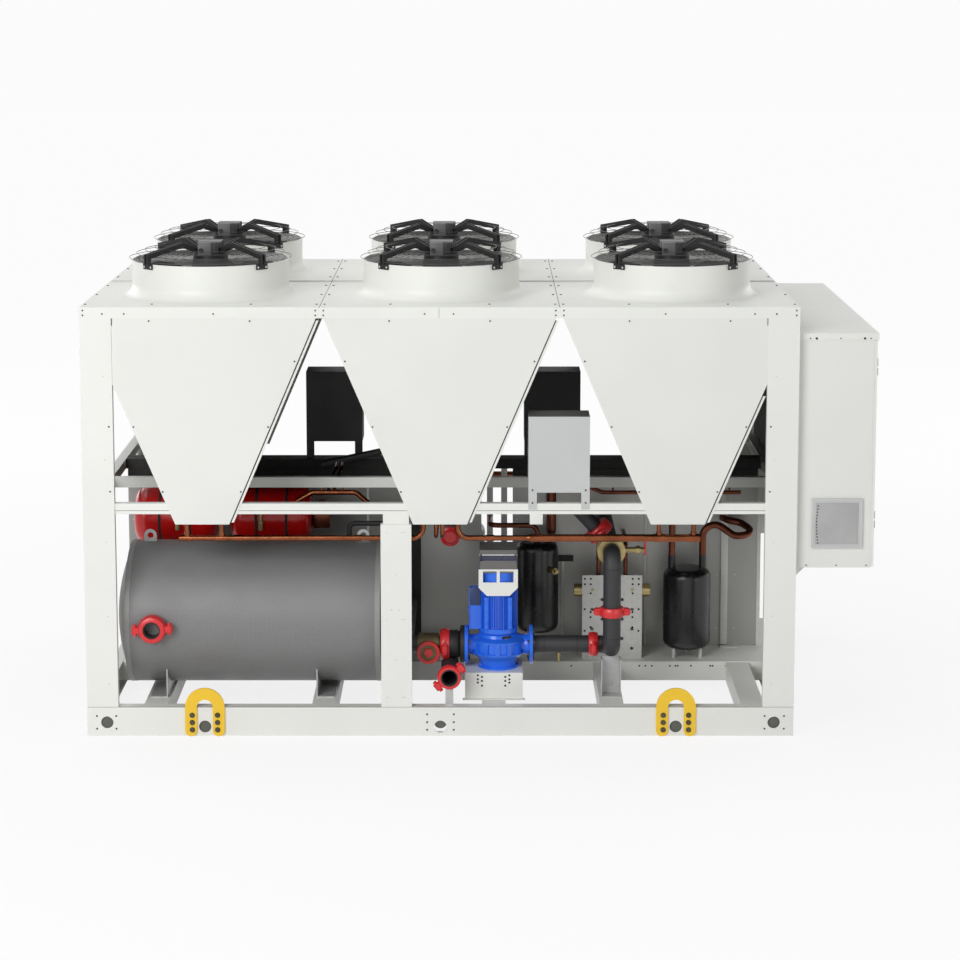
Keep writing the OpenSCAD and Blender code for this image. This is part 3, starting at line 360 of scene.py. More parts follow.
    def foam(self, tree: Shader) -> None:
        """Closed-cell pipe insulation: matt, pitted and softly waved.

        Args:
            tree: The material's nodes.
        """
        waves = tree.noise(7.0)
        tree.feed("Base Color", tree.tint(waves, dimmer(self.colour, 0.8), dimmer(self.colour, 1.25)))
        tree.feed("Roughness", tree.ramp(waves, 0.3, 0.7, self.roughness - 0.05, self.roughness + 0.05))
        tree.bump(tree.noise(130.0, 5.0), 0.25, 0.003)


class Finishes:
    """Every finish on the unit."""

    WHITE = Finish("white_powder_paint", "white_paint", srgb(233, 234, 229), roughness=0.42)
    PANEL = Finish("panel_powder_paint", "white_paint", srgb(229, 230, 225), roughness=0.42)
    YELLOW = Finish("yellow_paint", "yellow_paint", srgb(240, 196, 40), roughness=0.4)
    ZINC = Finish("zinc_sheet", "galvanised", srgb(186, 187, 186), Coat.SPANGLE, 0.42, 0.35)
    SHEET = Finish("partition_sheet", "galvanised", srgb(162, 162, 158), roughness=0.34, metallic=0.4)
    BLACK = Finish("black_arm_paint", "black_plastic", srgb(13, 13, 13), Coat.PLASTIC, 0.6)
    MOTOR = Finish("motor_dark_paint", "dark_metal", srgb(15, 15, 16), roughness=0.45)
    FINS = Finish("coil_fin_pack", "coil_fins", srgb(64, 66, 68), Coat.FINS, 0.5, 0.5)
    BLADE = Finish("blade_plastic", "fan_blades", srgb(36, 36, 37), Coat.PLASTIC, 0.5)
    GREY = Finish("grey_plastic", "grey_plastic", srgb(176, 177, 177), Coat.PLASTIC, 0.5)
    BOX = Finish("drive_box_paint", "grey_paint", srgb(196, 197, 197), roughness=0.42)
    JACKET = Finish("embossed_jacket", "tank_jacket", srgb(125, 125, 125), Coat.EMBOSSED, 0.46, 0.05)
    FOAM = Finish("pipe_insulation", "insulation", srgb(42, 42, 44), Coat.FOAM, 0.58)
    RED = Finish("red_enamel", "red_paint", srgb(212, 22, 20), roughness=0.2)
    BLUE = Finish("blue_enamel", "blue_paint", srgb(42, 112, 236), roughness=0.2)
    # Painted shade: a darker copy of the blue enamel, for the shaded front of the pump's terminal box.
    SHADED_BLUE = Finish("blue_enamel_painted_shade", "blue_paint", srgb(34, 54, 98), roughness=0.3)
    BRASS = Finish("brass_casting", "brass", srgb(170, 154, 108), Coat.METAL, 0.32, 0.85)
    COPPER = Finish("copper_tube", "copper", srgb(140, 82, 54), Coat.METAL, 0.2, 1.0)
    VESSEL = Finish("black_vessel_paint", "black_paint", srgb(22, 22, 23), roughness=0.28)
    # Dark joints, lines, slots and hole discs; also painted shade and shadow on the V panels' edge strips,
    # the inner beam, the partition and the cabinet's inner wall.
    SHADOW = Finish("joint_shadow", "dark_metal", srgb(38, 38, 37), Coat.PLASTIC, 0.8)
    SCREW = Finish("screw_heads", "dark_metal", srgb(48, 48, 46), Coat.METAL, 0.45, 0.4)
    BOLT = Finish("dark_bolts", "dark_metal", srgb(84, 80, 62), Coat.METAL, 0.4, 0.5)
    WIRE = Finish("guard_wire", "galvanised", srgb(74, 74, 73), Coat.METAL, 0.4, 0.3)
    COVER = Finish("motor_cover", "grey_plastic", srgb(92, 92, 92), Coat.PLASTIC, 0.5)
    # Painted shade: the tank's ends take a darker copy of the embossed jacket, for shading their shape does
    # not give.
    SHADED_JACKET_END = Finish("embossed_jacket_end_painted_shade", "tank_jacket", srgb(112, 112, 110), Coat.EMBOSSED, 0.5, 0.05)
    JACKET_EDGE = Finish("jacket_band", "tank_jacket", srgb(150, 150, 149), Coat.SPANGLE, 0.45, 0.1)
    OLD_COPPER = Finish("tarnished_copper", "copper", srgb(112, 60, 42), Coat.METAL, 0.3, 0.75)
    OLD_BRASS = Finish("tarnished_brass", "brass", srgb(112, 98, 70), Coat.METAL, 0.5, 0.5)
    HOLE_BACK = Finish("rail_hole_shade", "dark_metal", srgb(92, 92, 88), Coat.PLASTIC, 0.7)
    DARK_BOX = Finish("dark_box_paint", "black_paint", srgb(36, 36, 35), roughness=0.5)
    BOX_TOP = Finish("box_top_paint", "grey_paint", srgb(104, 103, 100), roughness=0.5)
    PLATE = Finish("bright_zinc", "galvanised", srgb(206, 206, 203), Coat.SPANGLE, 0.4, 0.2)
    VENT_FRAME = Finish("vent_frame", "grey_plastic", srgb(198, 199, 198), Coat.PLASTIC, 0.5)
    VENT = Finish("vent_filter_mat", "grey_plastic", srgb(172, 173, 172), Coat.FOAM, 0.75)
    COUPLING = Finish("coupling_enamel", "red_paint", srgb(214, 44, 48), roughness=0.3)
    DISPLAY = Finish("display_band", "grey_plastic", srgb(58, 60, 84), Coat.PLASTIC, 0.3)


NODE_FINISHES: dict[str, Finish] = {
    "lifting_plates": Finishes.YELLOW, "partition_panels": Finishes.SHEET,
    "deck_centre_rail": Finishes.ZINC, "motor_spiders": Finishes.BLACK,
    "fan_motors": Finishes.MOTOR, "condenser_coils": Finishes.FINS,
    "v_end_panels": Finishes.PANEL, "cabinet_fittings": Finishes.GREY,
    "cabinet_body": Finishes.PANEL, "cabinet_vent": Finishes.VENT_FRAME,
    "tank_shell": Finishes.JACKET, "tank_ends": Finishes.SHADED_JACKET_END, "tank_saddles": Finishes.ZINC,
    "water_stubs": Finishes.FOAM, "pipe_couplings": Finishes.RED, "pump_casing": Finishes.BLUE,
    "pump_motor": Finishes.BLUE, "pump_inverter": Finishes.GREY, "suction_line": Finishes.OLD_BRASS,
    "discharge_line": Finishes.FOAM, "liquid_receivers": Finishes.VESSEL,
    "drier_plate": Finishes.PLATE, "filter_drier": Finishes.BRASS, "copper_headers": Finishes.COPPER,
    "expansion_vessels": Finishes.RED, "drive_boxes": Finishes.BOX,
    "compressor_rails": Finishes.ZINC, "compressors": Finishes.VESSEL, "evaporator": Finishes.FOAM,
    "support_brackets": Finishes.ZINC,
}


def full_turn(count: int, start: float = 0.0) -> list[float]:
    """Angles evenly round a circle."""
    return [start + 2 * math.pi * step / count for step in range(count)]


def heading(degrees: float) -> Vector:
    """A level vector of length one, at an angle from X."""
    return Vector((math.cos(math.radians(degrees)), math.sin(math.radians(degrees)), 0.0))


def band(inner: float, outer: float, half: float, slope: float = 0.0) -> tuple[Point, ...]:
    """Section of a band to be turned: its radii, half its width and the slope of its edges."""
    return (inner, -half), (outer, slope - half), (outer, half - slope), (inner, half)


class Shape:
    """A mesh put together from simple solids and handed in as one piece."""

    def __init__(self, name: str, finish: Finish, body: str = ROOT) -> None:
        """Starts an empty shape.

        Args:
            name: The piece's name.
            finish: Its finish.
            body: The CAD body it moves with.
        """
        self.name, self.finish, self.body = name, finish, body
        self.mesh = bmesh.new()

    def box(self, low: Point, high: Point, bevel: float = 0.0) -> "Shape":
        """Adds a box.

        Args:
            low: Its lowest corner.
            high: Its highest corner.
            bevel: How far its edges are rounded.
        Returns:
            The shape itself.
        """
        low_at, high_at = Vector(low), Vector(high)
        place = Matrix.Translation((low_at + high_at) / 2) @ Matrix.Diagonal((*(high_at - low_at), 1.0))
        made = bmesh.ops.create_cube(self.mesh, size=1.0, matrix=place)["verts"]
        return self.soften(made, bevel)

    def soften(self, verts: Iterable[bmesh.types.BMVert], bevel: float) -> "Shape":
        """Rounds every edge of some vertices.

        Args:
            verts: The vertices.
            bevel: How far their edges are rounded.
        Returns:
            The shape itself.
        """
        if bevel > 0:
            edges = list(dict.fromkeys(edge for vert in verts for edge in vert.link_edges))
            bmesh.ops.bevel(self.mesh, geom=edges, offset=bevel, segments=2, profile=0.5, affect="EDGES")
        return self

    def bar(self, start: Point, end: Point, width: float, depth: float, side: Vector = Z) -> "Shape":
        """Adds a straight square-edged bar.

        Args:
            start: Middle of its first end.
            end: Middle of its other end.
            width: Size across the bar and across `side`.
            depth: Size along `side`.
            side: Direction its depth points in.
        Returns:
            The shape itself.
        """
        first, last = Vector(start), Vector(end)
        along = (last - first).normalized()
        across = along.cross(side).normalized()
        up = across.cross(along)
        turn = Matrix((across, up, along)).transposed().to_4x4()
        size = Matrix.Diagonal((width, depth, (last - first).length, 1.0))
        place = Matrix.Translation((first + last) / 2) @ turn @ size
        bmesh.ops.create_cube(self.mesh, size=1.0, matrix=place)
        return self

    def rod(self, start: Point, end: Point, radius: float, end_radius: float | None = None,
            sides: int = 24) -> "Shape":
        """Adds a round rod or cone.

        Args:
            start: Middle of its first end.
            end: Middle of its other end.
            radius: Radius at the first end.
            end_radius: Radius at the other end, or None for the same.
            sides: Flats of the round.
        Returns:
            The shape itself.
        """
        first, last = Vector(start), Vector(end)
        along = last - first
        turn = along.to_track_quat("Z", "Y").to_matrix().to_4x4()
        bmesh.ops.create_cone(self.mesh, cap_ends=True, segments=sides, radius1=radius,
                              radius2=radius if end_radius is None else end_radius, depth=along.length,
                              matrix=Matrix.Translation((first + last) / 2) @ turn)
        return self

    def lathe(self, profile: Sequence[Point], at: Point, axis: Vector = Z, sides: int = 40) -> "Shape":
        """Adds a profile turned about an axis.

        Args:
            profile: Pairs of radius and height, from end to end.
            at: Where height nought lies.
            axis: Direction of the heights.
            sides: Flats of the round.
        Returns:
            The shape itself.
        """
        place = Matrix.Translation(at) @ axis.to_track_quat("Z", "Y").to_matrix().to_4x4()
        turns = [(math.cos(turn), math.sin(turn)) for turn in full_turn(sides)]
        rings = [[self.mesh.verts.new(place @ Vector((radius * out, radius * across, height)))
                  for out, across in turns] for radius, height in profile]
        self.skin(rings, capped=profile[0] != profile[-1])
        return self

    def skin(self, rings: list[list[bmesh.types.BMVert]], capped: bool) -> None:
        """Joins rings of vertices into a skin.

        Args:
            rings: The rings in order.
            capped: Whether the first and last ring are closed.
        """
        for first, second in zip(rings, rings[1:]):
            count = len(first)
            for step in range(count):
                after = (step + 1) % count
                self.mesh.faces.new((first[step], first[after], second[after], second[step]))
        if capped:
            self.mesh.faces.new(list(reversed(rings[0])))
            self.mesh.faces.new(rings[-1])

    def tube(self, points: Sequence[Point], radius: float, bend: float = 0.0, sides: int = 14) -> "Shape":
        """Adds a round tube along a path with rounded corners.

        Args:
            points: Corners of the path.
            radius: Tube radius.
            bend: Radius of the corners.
            sides: Flats of the round.
        Returns:
            The shape itself.
        """
        path = rounded(points, bend)
        rings = []
        side = None
        for step, place in enumerate(path):
            before, after = path[max(step - 1, 0)], path[min(step + 1, len(path) - 1)]
            along = (after - before).normalized()
            if side is None:
                side = along.orthogonal().normalized()
            side = (side - along * side.dot(along)).normalized()
            up = along.cross(side)
            rings.append([self.mesh.verts.new(place + (side * math.cos(turn) + up * math.sin(turn)) * radius)
                          for turn in full_turn(sides)])
        self.skin(rings, capped=True)
        return self

    def prism(self, outline: Sequence[Point], thick: Point, bevel: float = 0.0) -> "Shape":
        """Adds a flat outline thickened along a vector.

        Args:
            outline: Corners of the outline.
            thick: The vector.
            bevel: How far its edges are rounded.
        Returns:
            The shape itself.
        """
        base = [self.mesh.verts.new(corner) for corner in outline]
        top = [self.mesh.verts.new(Vector(corner) + Vector(thick)) for corner in outline]
        self.skin([base, top], capped=True)
        return self.soften(base + top, bevel)

    def done(self, smooth: float = 40.0) -> bpy.types.Object:
        """Hands the shape in as one piece.

        Args:
            smooth: Edges flatter than this many degrees are shaded smooth.
        Returns:
            The object.
        """
        bmesh.ops.recalc_face_normals(self.mesh, faces=self.mesh.faces[:])
        data = bpy.data.meshes.new(self.name)
        self.mesh.to_mesh(data)
        self.mesh.free()
        return hand_in(bpy.data.objects.new(self.name, data), self.finish, self.body, smooth)


def rounded(points: Sequence[Point], bend: float, steps: int = 8) -> list[Vector]:
    """A path with its inner corners turned into arcs.

    Args:
        points: Corners of the path.
        bend: Radius of the arcs.
        steps: Straight bits to an arc.
    Returns:
        The finer path.
    """
    straight, most = 1.56, 0.49
    corners = [Vector(point) for point in points]
    path = [corners[0]]
    for before, corner, after in zip(corners, corners[1:], corners[2:]):
        into, out = (before - corner).normalized(), (after - corner).normalized()
        half = into.angle(out) / 2
        if bend <= 0 or half > straight:
            path.append(corner)
            continue
        reach = min(bend / math.tan(half), *((leg - corner).length * most for leg in (before, after)))
        radius = reach * math.tan(half)
        middle = corner + (into + out).normalized() * (radius / math.sin(half))
        first = (corner + into * reach - middle).normalized()
        last = (corner + out * reach - middle).normalized()
        path += [middle + first.slerp(last, step / steps) * radius for step in range(steps + 1)]
    return path + [corners[-1]]


def hand_in(made: bpy.types.Object, finish: Finish, body: str, smooth: float) -> bpy.types.Object:
    """Gives an object its finish, shading, slot and body.

    Args:
        made: The object.
        finish: Its finish.
        body: The CAD body it moves with.
        smooth: Edges flatter than this many degrees are shaded smooth.
    Returns:
        The object.
    """
    data = made.data
    if not data.materials:
        data.materials.append(finish.material())
    data.polygons.foreach_set("use_smooth", [True] * len(data.polygons))
    data.set_sharp_from_angle(angle=math.radians(smooth))
    if made.name not in bpy.context.scene.collection.objects:
        bpy.context.scene.collection.objects.link(made)
    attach(made, body)
    LOG.info("piece %s: %d faces", made.name, len(data.polygons))
    return made


class Tree(Nodes):
    """A geometry-node tree with named inputs, run once into a plain mesh."""

    def __init__(self, name: str, inputs: dict[str, str]) -> None:
        """Makes the tree with its inputs.

        Args:
            name: The tree's name.
            inputs: Socket types by input name.
        """
        super().__init__(bpy.data.node_groups.new(name, "GeometryNodeTree"))
        face = self.tree.interface
        face.new_socket("Geometry", in_out="INPUT", socket_type="NodeSocketGeometry")
        self.ids = {key: face.new_socket(key, in_out="INPUT", socket_type=kind).identifier
                    for key, kind in inputs.items()}
        face.new_socket("Geometry", in_out="OUTPUT", socket_type="NodeSocketGeometry")
        self.given = self.node("NodeGroupInput").outputs
        self.result = self.node("NodeGroupOutput").inputs[0]

    def end(self, geometry: bpy.types.NodeSocket) -> None:
        """Realizes the instances, sets the material and ends the tree.

        Args:
            geometry: What the tree has made.
        """
        real = self.node("GeometryNodeRealizeInstances", {"Geometry": geometry}).outputs[0]
        coated = self.node("GeometryNodeSetMaterial", {"Geometry": real, "Material": self.given["Material"]})
        self.put(self.result, coated.outputs[0])

    def run(self, seeds: bpy.types.Mesh, values: dict, name: str, finish: Finish, body: str = ROOT,
            smooth: float = 40.0) -> bpy.types.Object:
        """Runs the tree on a mesh of points and hands the result in.

        Args:
            seeds: The mesh the tree starts from.
            values: Values of the inputs by name.
            name: The piece's name.
            finish: Its finish.
            body: The CAD body it moves with.
            smooth: Edges flatter than this many degrees are shaded smooth.
        Returns:
            The object.
        """
        carrier = bpy.data.objects.new(name + "_seeds", seeds)
        bpy.context.scene.collection.objects.link(carrier)
        modifier = carrier.modifiers.new(self.tree.name, "NODES")
        modifier.node_group = self.tree
        for key, value in {**values, "Material": finish.material()}.items():
            modifier[self.ids[key]] = value
        bpy.context.view_layer.update()
        graph = bpy.context.evaluated_depsgraph_get()
        data = bpy.data.meshes.new_from_object(carrier.evaluated_get(graph))
        data.name = name
        bpy.data.objects.remove(carrier)
        return hand_in(bpy.data.objects.new(name, data), finish, body, smooth)


@dataclass(frozen=True)
class Spot:
    """A place on a face and the way the face looks."""

    at: tuple[float, float, float]
    facing: tuple[float, float, float]


def seed_mesh(spots: Sequence[Spot]) -> bpy.types.Mesh:
    """A mesh of loose points that keep their facing.

    Args:
        spots: The points.
    Returns:
        The mesh.
    """
    mesh = bpy.data.meshes.new("seeds")
    mesh.from_pydata([spot.at for spot in spots], [], [])
    facing = mesh.attributes.new("facing", "FLOAT_VECTOR", "POINT")
    facing.data.foreach_set("vector", [value for spot in spots for value in spot.facing])
    return mesh


def aligned(tree: Tree) -> bpy.types.NodeSocket:
    """A rotation that turns Z to each point's facing and X upright.

    Args:
        tree: The tree that takes the nodes.
    Returns:
        The rotation.
    """
    facing = tree.node("GeometryNodeInputNamedAttribute", {"Name": "facing"}, data_type="FLOAT_VECTOR")
    turn = tree.node("FunctionNodeAlignRotationToVector", {"Vector": facing.outputs[0]}, axis="Z")
    upright = tree.node("FunctionNodeAlignRotationToVector",
                        {"Rotation": turn.outputs[0], "Vector": (0.0, 0.0, 1.0)}, axis="X", pivot_axis="Z")
    return upright.outputs[0]


def fastener_tree() -> Tree:
    """Heads on washers, scattered on points.

    Returns:
        The tree.
    """
    tree = Tree("fasteners", {"Head radius": "NodeSocketFloat", "Head height": "NodeSocketFloat",
                              "Sides": "NodeSocketInt", "Washer radius": "NodeSocketFloat",
                              "Material": "NodeSocketMaterial"})
    lift = tree.maths("MULTIPLY", tree.given["Head height"], 0.5)
    head = tree.node("GeometryNodeMeshCylinder", {"Vertices": tree.given["Sides"],
                                                  "Radius": tree.given["Head radius"],
                                                  "Depth": tree.given["Head height"]})
    offset = tree.node("ShaderNodeCombineXYZ", {"Z": lift}).outputs[0]
    raised = tree.node("GeometryNodeTransform", {"Geometry": head.outputs[0], "Translation": offset})
    washer = tree.node("GeometryNodeMeshCylinder", {"Vertices": 16, "Radius": tree.given["Washer radius"],
                                                    "Depth": 0.0024})
    both = tree.node("GeometryNodeJoinGeometry")
    for part in (raised, washer):
        tree.put(both.inputs[0], part.outputs[0])
    placed = tree.node("GeometryNodeInstanceOnPoints", {"Points": tree.given["Geometry"],
                                                        "Instance": both.outputs[0],
                                                        "Rotation": aligned(tree)})
    tree.end(placed.outputs[0])
    return tree


def slab_tree() -> Tree:
    """Thin boxes of one size, scattered on points.

    Returns:
        The tree.
    """
    tree = Tree("slabs", {"Size": "NodeSocketVector", "Material": "NodeSocketMaterial"})
    cube = tree.node("GeometryNodeMeshCube", {"Size": tree.given["Size"]})
    placed = tree.node("GeometryNodeInstanceOnPoints", {"Points": tree.given["Geometry"],
                                                        "Instance": cube.outputs[0],
                                                        "Rotation": aligned(tree)})
    tree.end(placed.outputs[0])
    return tree


def ring_tree() -> Tree:
    """Wire rings, each of its point's own radius.

    Returns:
        The tree.
    """
    tree = Tree("wire_rings", {"Wire radius": "NodeSocketFloat", "Material": "NodeSocketMaterial"})
    reach = tree.node("GeometryNodeInputNamedAttribute", {"Name": "reach"}, data_type="FLOAT").outputs[0]
    scale = tree.node("ShaderNodeCombineXYZ", {"X": reach, "Y": reach, "Z": 1.0}).outputs[0]
    circle = tree.node("GeometryNodeCurvePrimitiveCircle", {"Resolution": 72, "Radius": 1.0}, mode="RADIUS")
    placed = tree.node("GeometryNodeInstanceOnPoints", {"Points": tree.given["Geometry"],
                                                        "Instance": circle.outputs[0], "Scale": scale})
    real = tree.node("GeometryNodeRealizeInstances", {"Geometry": placed.outputs[0]}).outputs[0]
    section = tree.node("GeometryNodeCurvePrimitiveCircle",
                        {"Resolution": 6, "Radius": tree.given["Wire radius"]}, mode="RADIUS")
    wires = tree.node("GeometryNodeCurveToMesh", {"Curve": real, "Profile Curve": section.outputs[0]})
    tree.end(wires.outputs[0])
    return tree


class Kit:
    """The geometry-node trees, made once and shared."""

    def __init__(self) -> None:
        """Makes the trees."""
        self.fastener = fastener_tree()
        self.slab = slab_tree()
        self.ring = ring_tree()

    def screws(self, name: str, spots: Sequence[Spot], radius: float, height: float, finish: Finish,
               sides: int = 12, washer: float = 0.0) -> None:
        """Scatters screw or bolt heads.

        Args:
            name: The piece's name.
            spots: Where they sit.
            radius: Head radius.
            height: Head height.
            finish: Their finish.
            sides: Flats of a head: 6 for a hexagon.
            washer: Washer radius, or nought for none.
        """
        values = {"Head radius": radius, "Head height": height, "Sides": sides,
                  "Washer radius": max(washer, radius * 0.5)}
        self.fastener.run(seed_mesh(spots), values, name, finish)

    def holes(self, name: str, spots: Sequence[Spot], radius: float) -> None:
        """Scatters dark discs that read as small punched holes."""
        self.screws(name, spots, radius, 0.0007, Finishes.SHADOW, 14)

    def slabs(self, name: str, spots: Sequence[Spot], size: Point, finish: Finish) -> None:
        """Scatters boxes of one size."""
        self.slab.run(seed_mesh(spots), {"Size": size}, name, finish)

    def rings(self, name: str, spots: Sequence[tuple[Point, float]], wire: float, finish: Finish) -> None:
        """Bends wire rings.

        Args:
            name: The piece's name.
            spots: Middle and radius of each ring.
            wire: Radius of the wire.
            finish: Their finish.
        """
        mesh = bpy.data.meshes.new("ring_seeds")
        mesh.from_pydata([at for at, _ in spots], [], [])
        reach = mesh.attributes.new("reach", "FLOAT", "POINT")
        reach.data.foreach_set("value", [radius for _, radius in spots])
        self.ring.run(mesh, {"Wire radius": wire}, name, finish)


def repaint(node: str, finish: Finish, low: Point, high: Point, facing: Vector | None = None) -> None:
    """Gives the faces of a CAD node inside a box another finish.

    Args:
        node: The CAD node.
        finish: The finish.
        low: Lowest corner of the box.
        high: Highest corner of the box.
        facing: Only faces that look this way, or None for all.
    """
    towards = 0.7
    data = frame["nodes"][node].data
    data.materials.append(finish.material())
    index = len(data.materials) - 1
    for face in data.polygons:
        inside = all(a <= c <= b for a, c, b in zip(low, face.center, high))
        if inside and (facing is None or face.normal.dot(facing) > towards):
            face.material_index = index


def both_faces(points: Iterable[tuple[float, float]], depth: float) -> list[Spot]:
    """Spots at x and z on the front face and, mirrored, on the rear face."""
    front = [Spot((x, -depth, z), FRONT) for x, z in points]
    return front + [Spot((x, depth, z), REAR) for x, z in points]


@dataclass
class FrameWork:
    """Screws, seams and holes of the painted frame, deck and V panels."""

    kit: Kit
    seams: tuple[float, ...] = (-0.795, 0.395)
    left: float = -1.985
    right: float = 1.585
    front: float = 1.1
    deck: float = 2.186

    def build(self) -> None:
        """Adds every detail of the frame."""
        self.kit.screws("deck_screws", self.deck_screws(), 0.0058, 0.003, Finishes.SCREW)
        self.kit.screws("fascia_screws", self.fascia_screws(), 0.0042, 0.002, Finishes.SCREW)
        self.kit.screws("panel_screws", self.panel_screws(), 0.0044, 0.002, Finishes.SCREW)
        self.kit.screws("post_screws", self.post_screws(), 0.0034, 0.0015, Finishes.PLATE)
        bolts = [(x, z) for x in self.ends(0.138) for z in (1.258, 1.587)]
        self.kit.screws("post_bolts", both_faces(bolts, self.front), 0.0044, 0.0018, Finishes.SCREW)
        self.kit.holes("rail_holes", self.rail_holes(), 0.005)
        self.kit.screws("lifting_bolts", self.lifting_bolts(), 0.0115, 0.008, Finishes.BOLT, 6, 0.014)
        self.seam_lines()
        self.edge_strips()

    def ends(self, inset: float) -> list[float]:
        """Places near the left and right end."""
        return [self.left + inset, self.right - inset]

    def seam_sides(self) -> list[float]:
        """Places on both sides of each seam."""
        return [seam + side for seam in self.seams for side in (-0.02, 0.02)]

    def deck_screws(self) -> list[Spot]:
        """Rows along the deck's edges and seams."""
        rows = self.ends(0.015) + self.seam_sides()
        places = [(x, y) for x in rows for y in (-0.985, -0.591, -0.197, 0.197, 0.591, 0.985)]
        places += [(x + dx, y) for x in COLUMNS for dx in (-0.247, 0.247) for y in (-0.985, 0.985)]
        return [Spot((x, y, self.deck), UP) for x, y in places]

    def fascia_screws(self) -> list[Spot]:
        """Pairs at the corners and seams, and singles along the fascia."""
        places = [(x, z) for x in self.ends(0.019) + self.seam_sides() for z in (2.146, 2.170)]
        singles = (-1.870, -1.762, -1.320, -0.274, -0.131, 0.918, 1.360, 1.468)
        return both_faces(places + [(x, 2.153) for x in singles], self.front)

    def panel_screws(self) -> list[Spot]:
        """Screws along the top and the slanting edges of the V panels."""
        offsets = ((0.25, 2.117), (0.47, 1.915), (0.335, 1.585), (0.195, 1.256))
        places = [(x + side * dx, z) for x in COLUMNS for dx, z in offsets for side in (-1, 1)]
        inside = [(x, z) for x, z in places if self.left + 0.165 < x < self.right - 0.165]
        return both_faces(inside, self.front - 0.004)

    def post_screws(self) -> list[Spot]:
        """Small screws on the centre and corner posts."""
        rows = {1.049: (-0.468, -0.391, -0.379), 0.833: (-0.423,), 0.652: (-0.445, -0.404),
                0.604: (-0.468, -0.391, -0.379), 0.396: (-0.423,), 0.200: (-0.468, -0.391, -0.379)}
        places = [(x, z) for z, row in rows.items() for x in row]
        places += [(x, z) for x in self.ends(0.115) for z in (0.27, 0.62, 1.0, 1.42, 1.84)]
        return both_faces(places, self.front)

    def rail_holes(self) -> list[Spot]:
        """Punched holes round the large holes of the base rails."""
        places = [(COLUMNS[1] + dx, z) for dx in (-0.0675, 0.0675) for z in (0.031, 0.071, 0.112)]
        for x in self.ends(0.097):
            places += [(x + dx, 0.070 + dz) for dx in (-0.049, 0.049) for dz in (-0.033, 0.033)]
        return both_faces(places, self.front)

    def lifting_bolts(self) -> list[Spot]:
        """Hexagon bolts through the lifting plates."""
        places = [(COLUMNS[i] + dx, z) for i in (0, 2) for dx in (-0.064, 0.064)
                  for z in (0.034, 0.072, 0.110)]
        return both_faces(places, -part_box("lifting_plates")[0].y)

    def seam_lines(self) -> None:
        """Thin dark joints in the fascia, under it and beside the outer V panels."""
        lines = Shape("frame_joints", Finishes.SHADOW)
        for side in (-1, 1):
            face = side * (self.front + 0.0004)
            inner = side * (self.front - 0.002)
            low, high = min(face, inner), max(face, inner)
            lines.box((-0.2035, low, 2.131), (-0.2020, high, 2.182))
            for x in (self.left + 0.159, self.right - 0.162):
                lines.box((x, low, 2.095), (x + 0.003, high, 2.131))
            lines.box((self.left + 0.002, low, 0.1485), (self.right - 0.002, high, 0.1500))
        under, over = self.deck - 0.002, self.deck + 0.0004
        for seam in self.seams:
            lines.box((seam - 0.0012, -self.front + 0.002, under), (seam + 0.0012, self.front - 0.002, over))
        low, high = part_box("deck_centre_rail")
        for y in (low.y - 0.003, high.y):
            lines.box((self.left + 0.004, y, under), (self.right - 0.004, y + 0.003, over))
        lines.box((-1.827, -1.0924, 1.1585), (1.427, -1.0915, 1.1605))
        lines.done()
        backs = [(-1.888, 0.062), (COLUMNS[1], 0.070), (1.488, 0.062), (COLUMNS[0], 0.050),
                 (COLUMNS[2], 0.050)]
        self.kit.screws("rail_hole_backs", both_faces(backs, self.front - 0.012), 0.034, 0.002,
                        Finishes.HOLE_BACK, 28)

    def half_width(self, z: float) -> float:
        """Half the width of a V panel at a height."""
        foot, foot_half, slope = 1.090, 0.135, 0.4246
        return foot_half + (z - foot) * slope

    def edge_strips(self) -> None:
        """A folded strip past the right edge of each V panel, and beside it a dark line that is the painted
        shadow of the panel's edge on the strip.
        """
        strips = Shape("v_edge_strips", Finishes.PANEL)
        # Painted shadow: the V panel's edge casts it on the strip, on the right side only.
        joints = Shape("v_edge_painted_shadows", Finishes.SHADOW)
        for side in (-1, 1):
            for column in COLUMNS:
                top = 2.120 if column < 0.9 else 1.74
                for shape, start, end, y in ((strips, 0.007, 0.019, 1.0930), (joints, 0.0005, 0.007, 1.0924)):
                    outline = [(column + self.half_width(z) + dx, side * y, z)
                               for z, dx in ((1.10, start), (1.10, end), (top, end), (top, start))]
                    shape.prism(outline, (0.0, side * 0.0016, 0.0))
        strips.box((0.249, -1.0905, 1.089), (0.314, -1.0870, 1.143), 0.001)
        strips.done()
        joints.done()


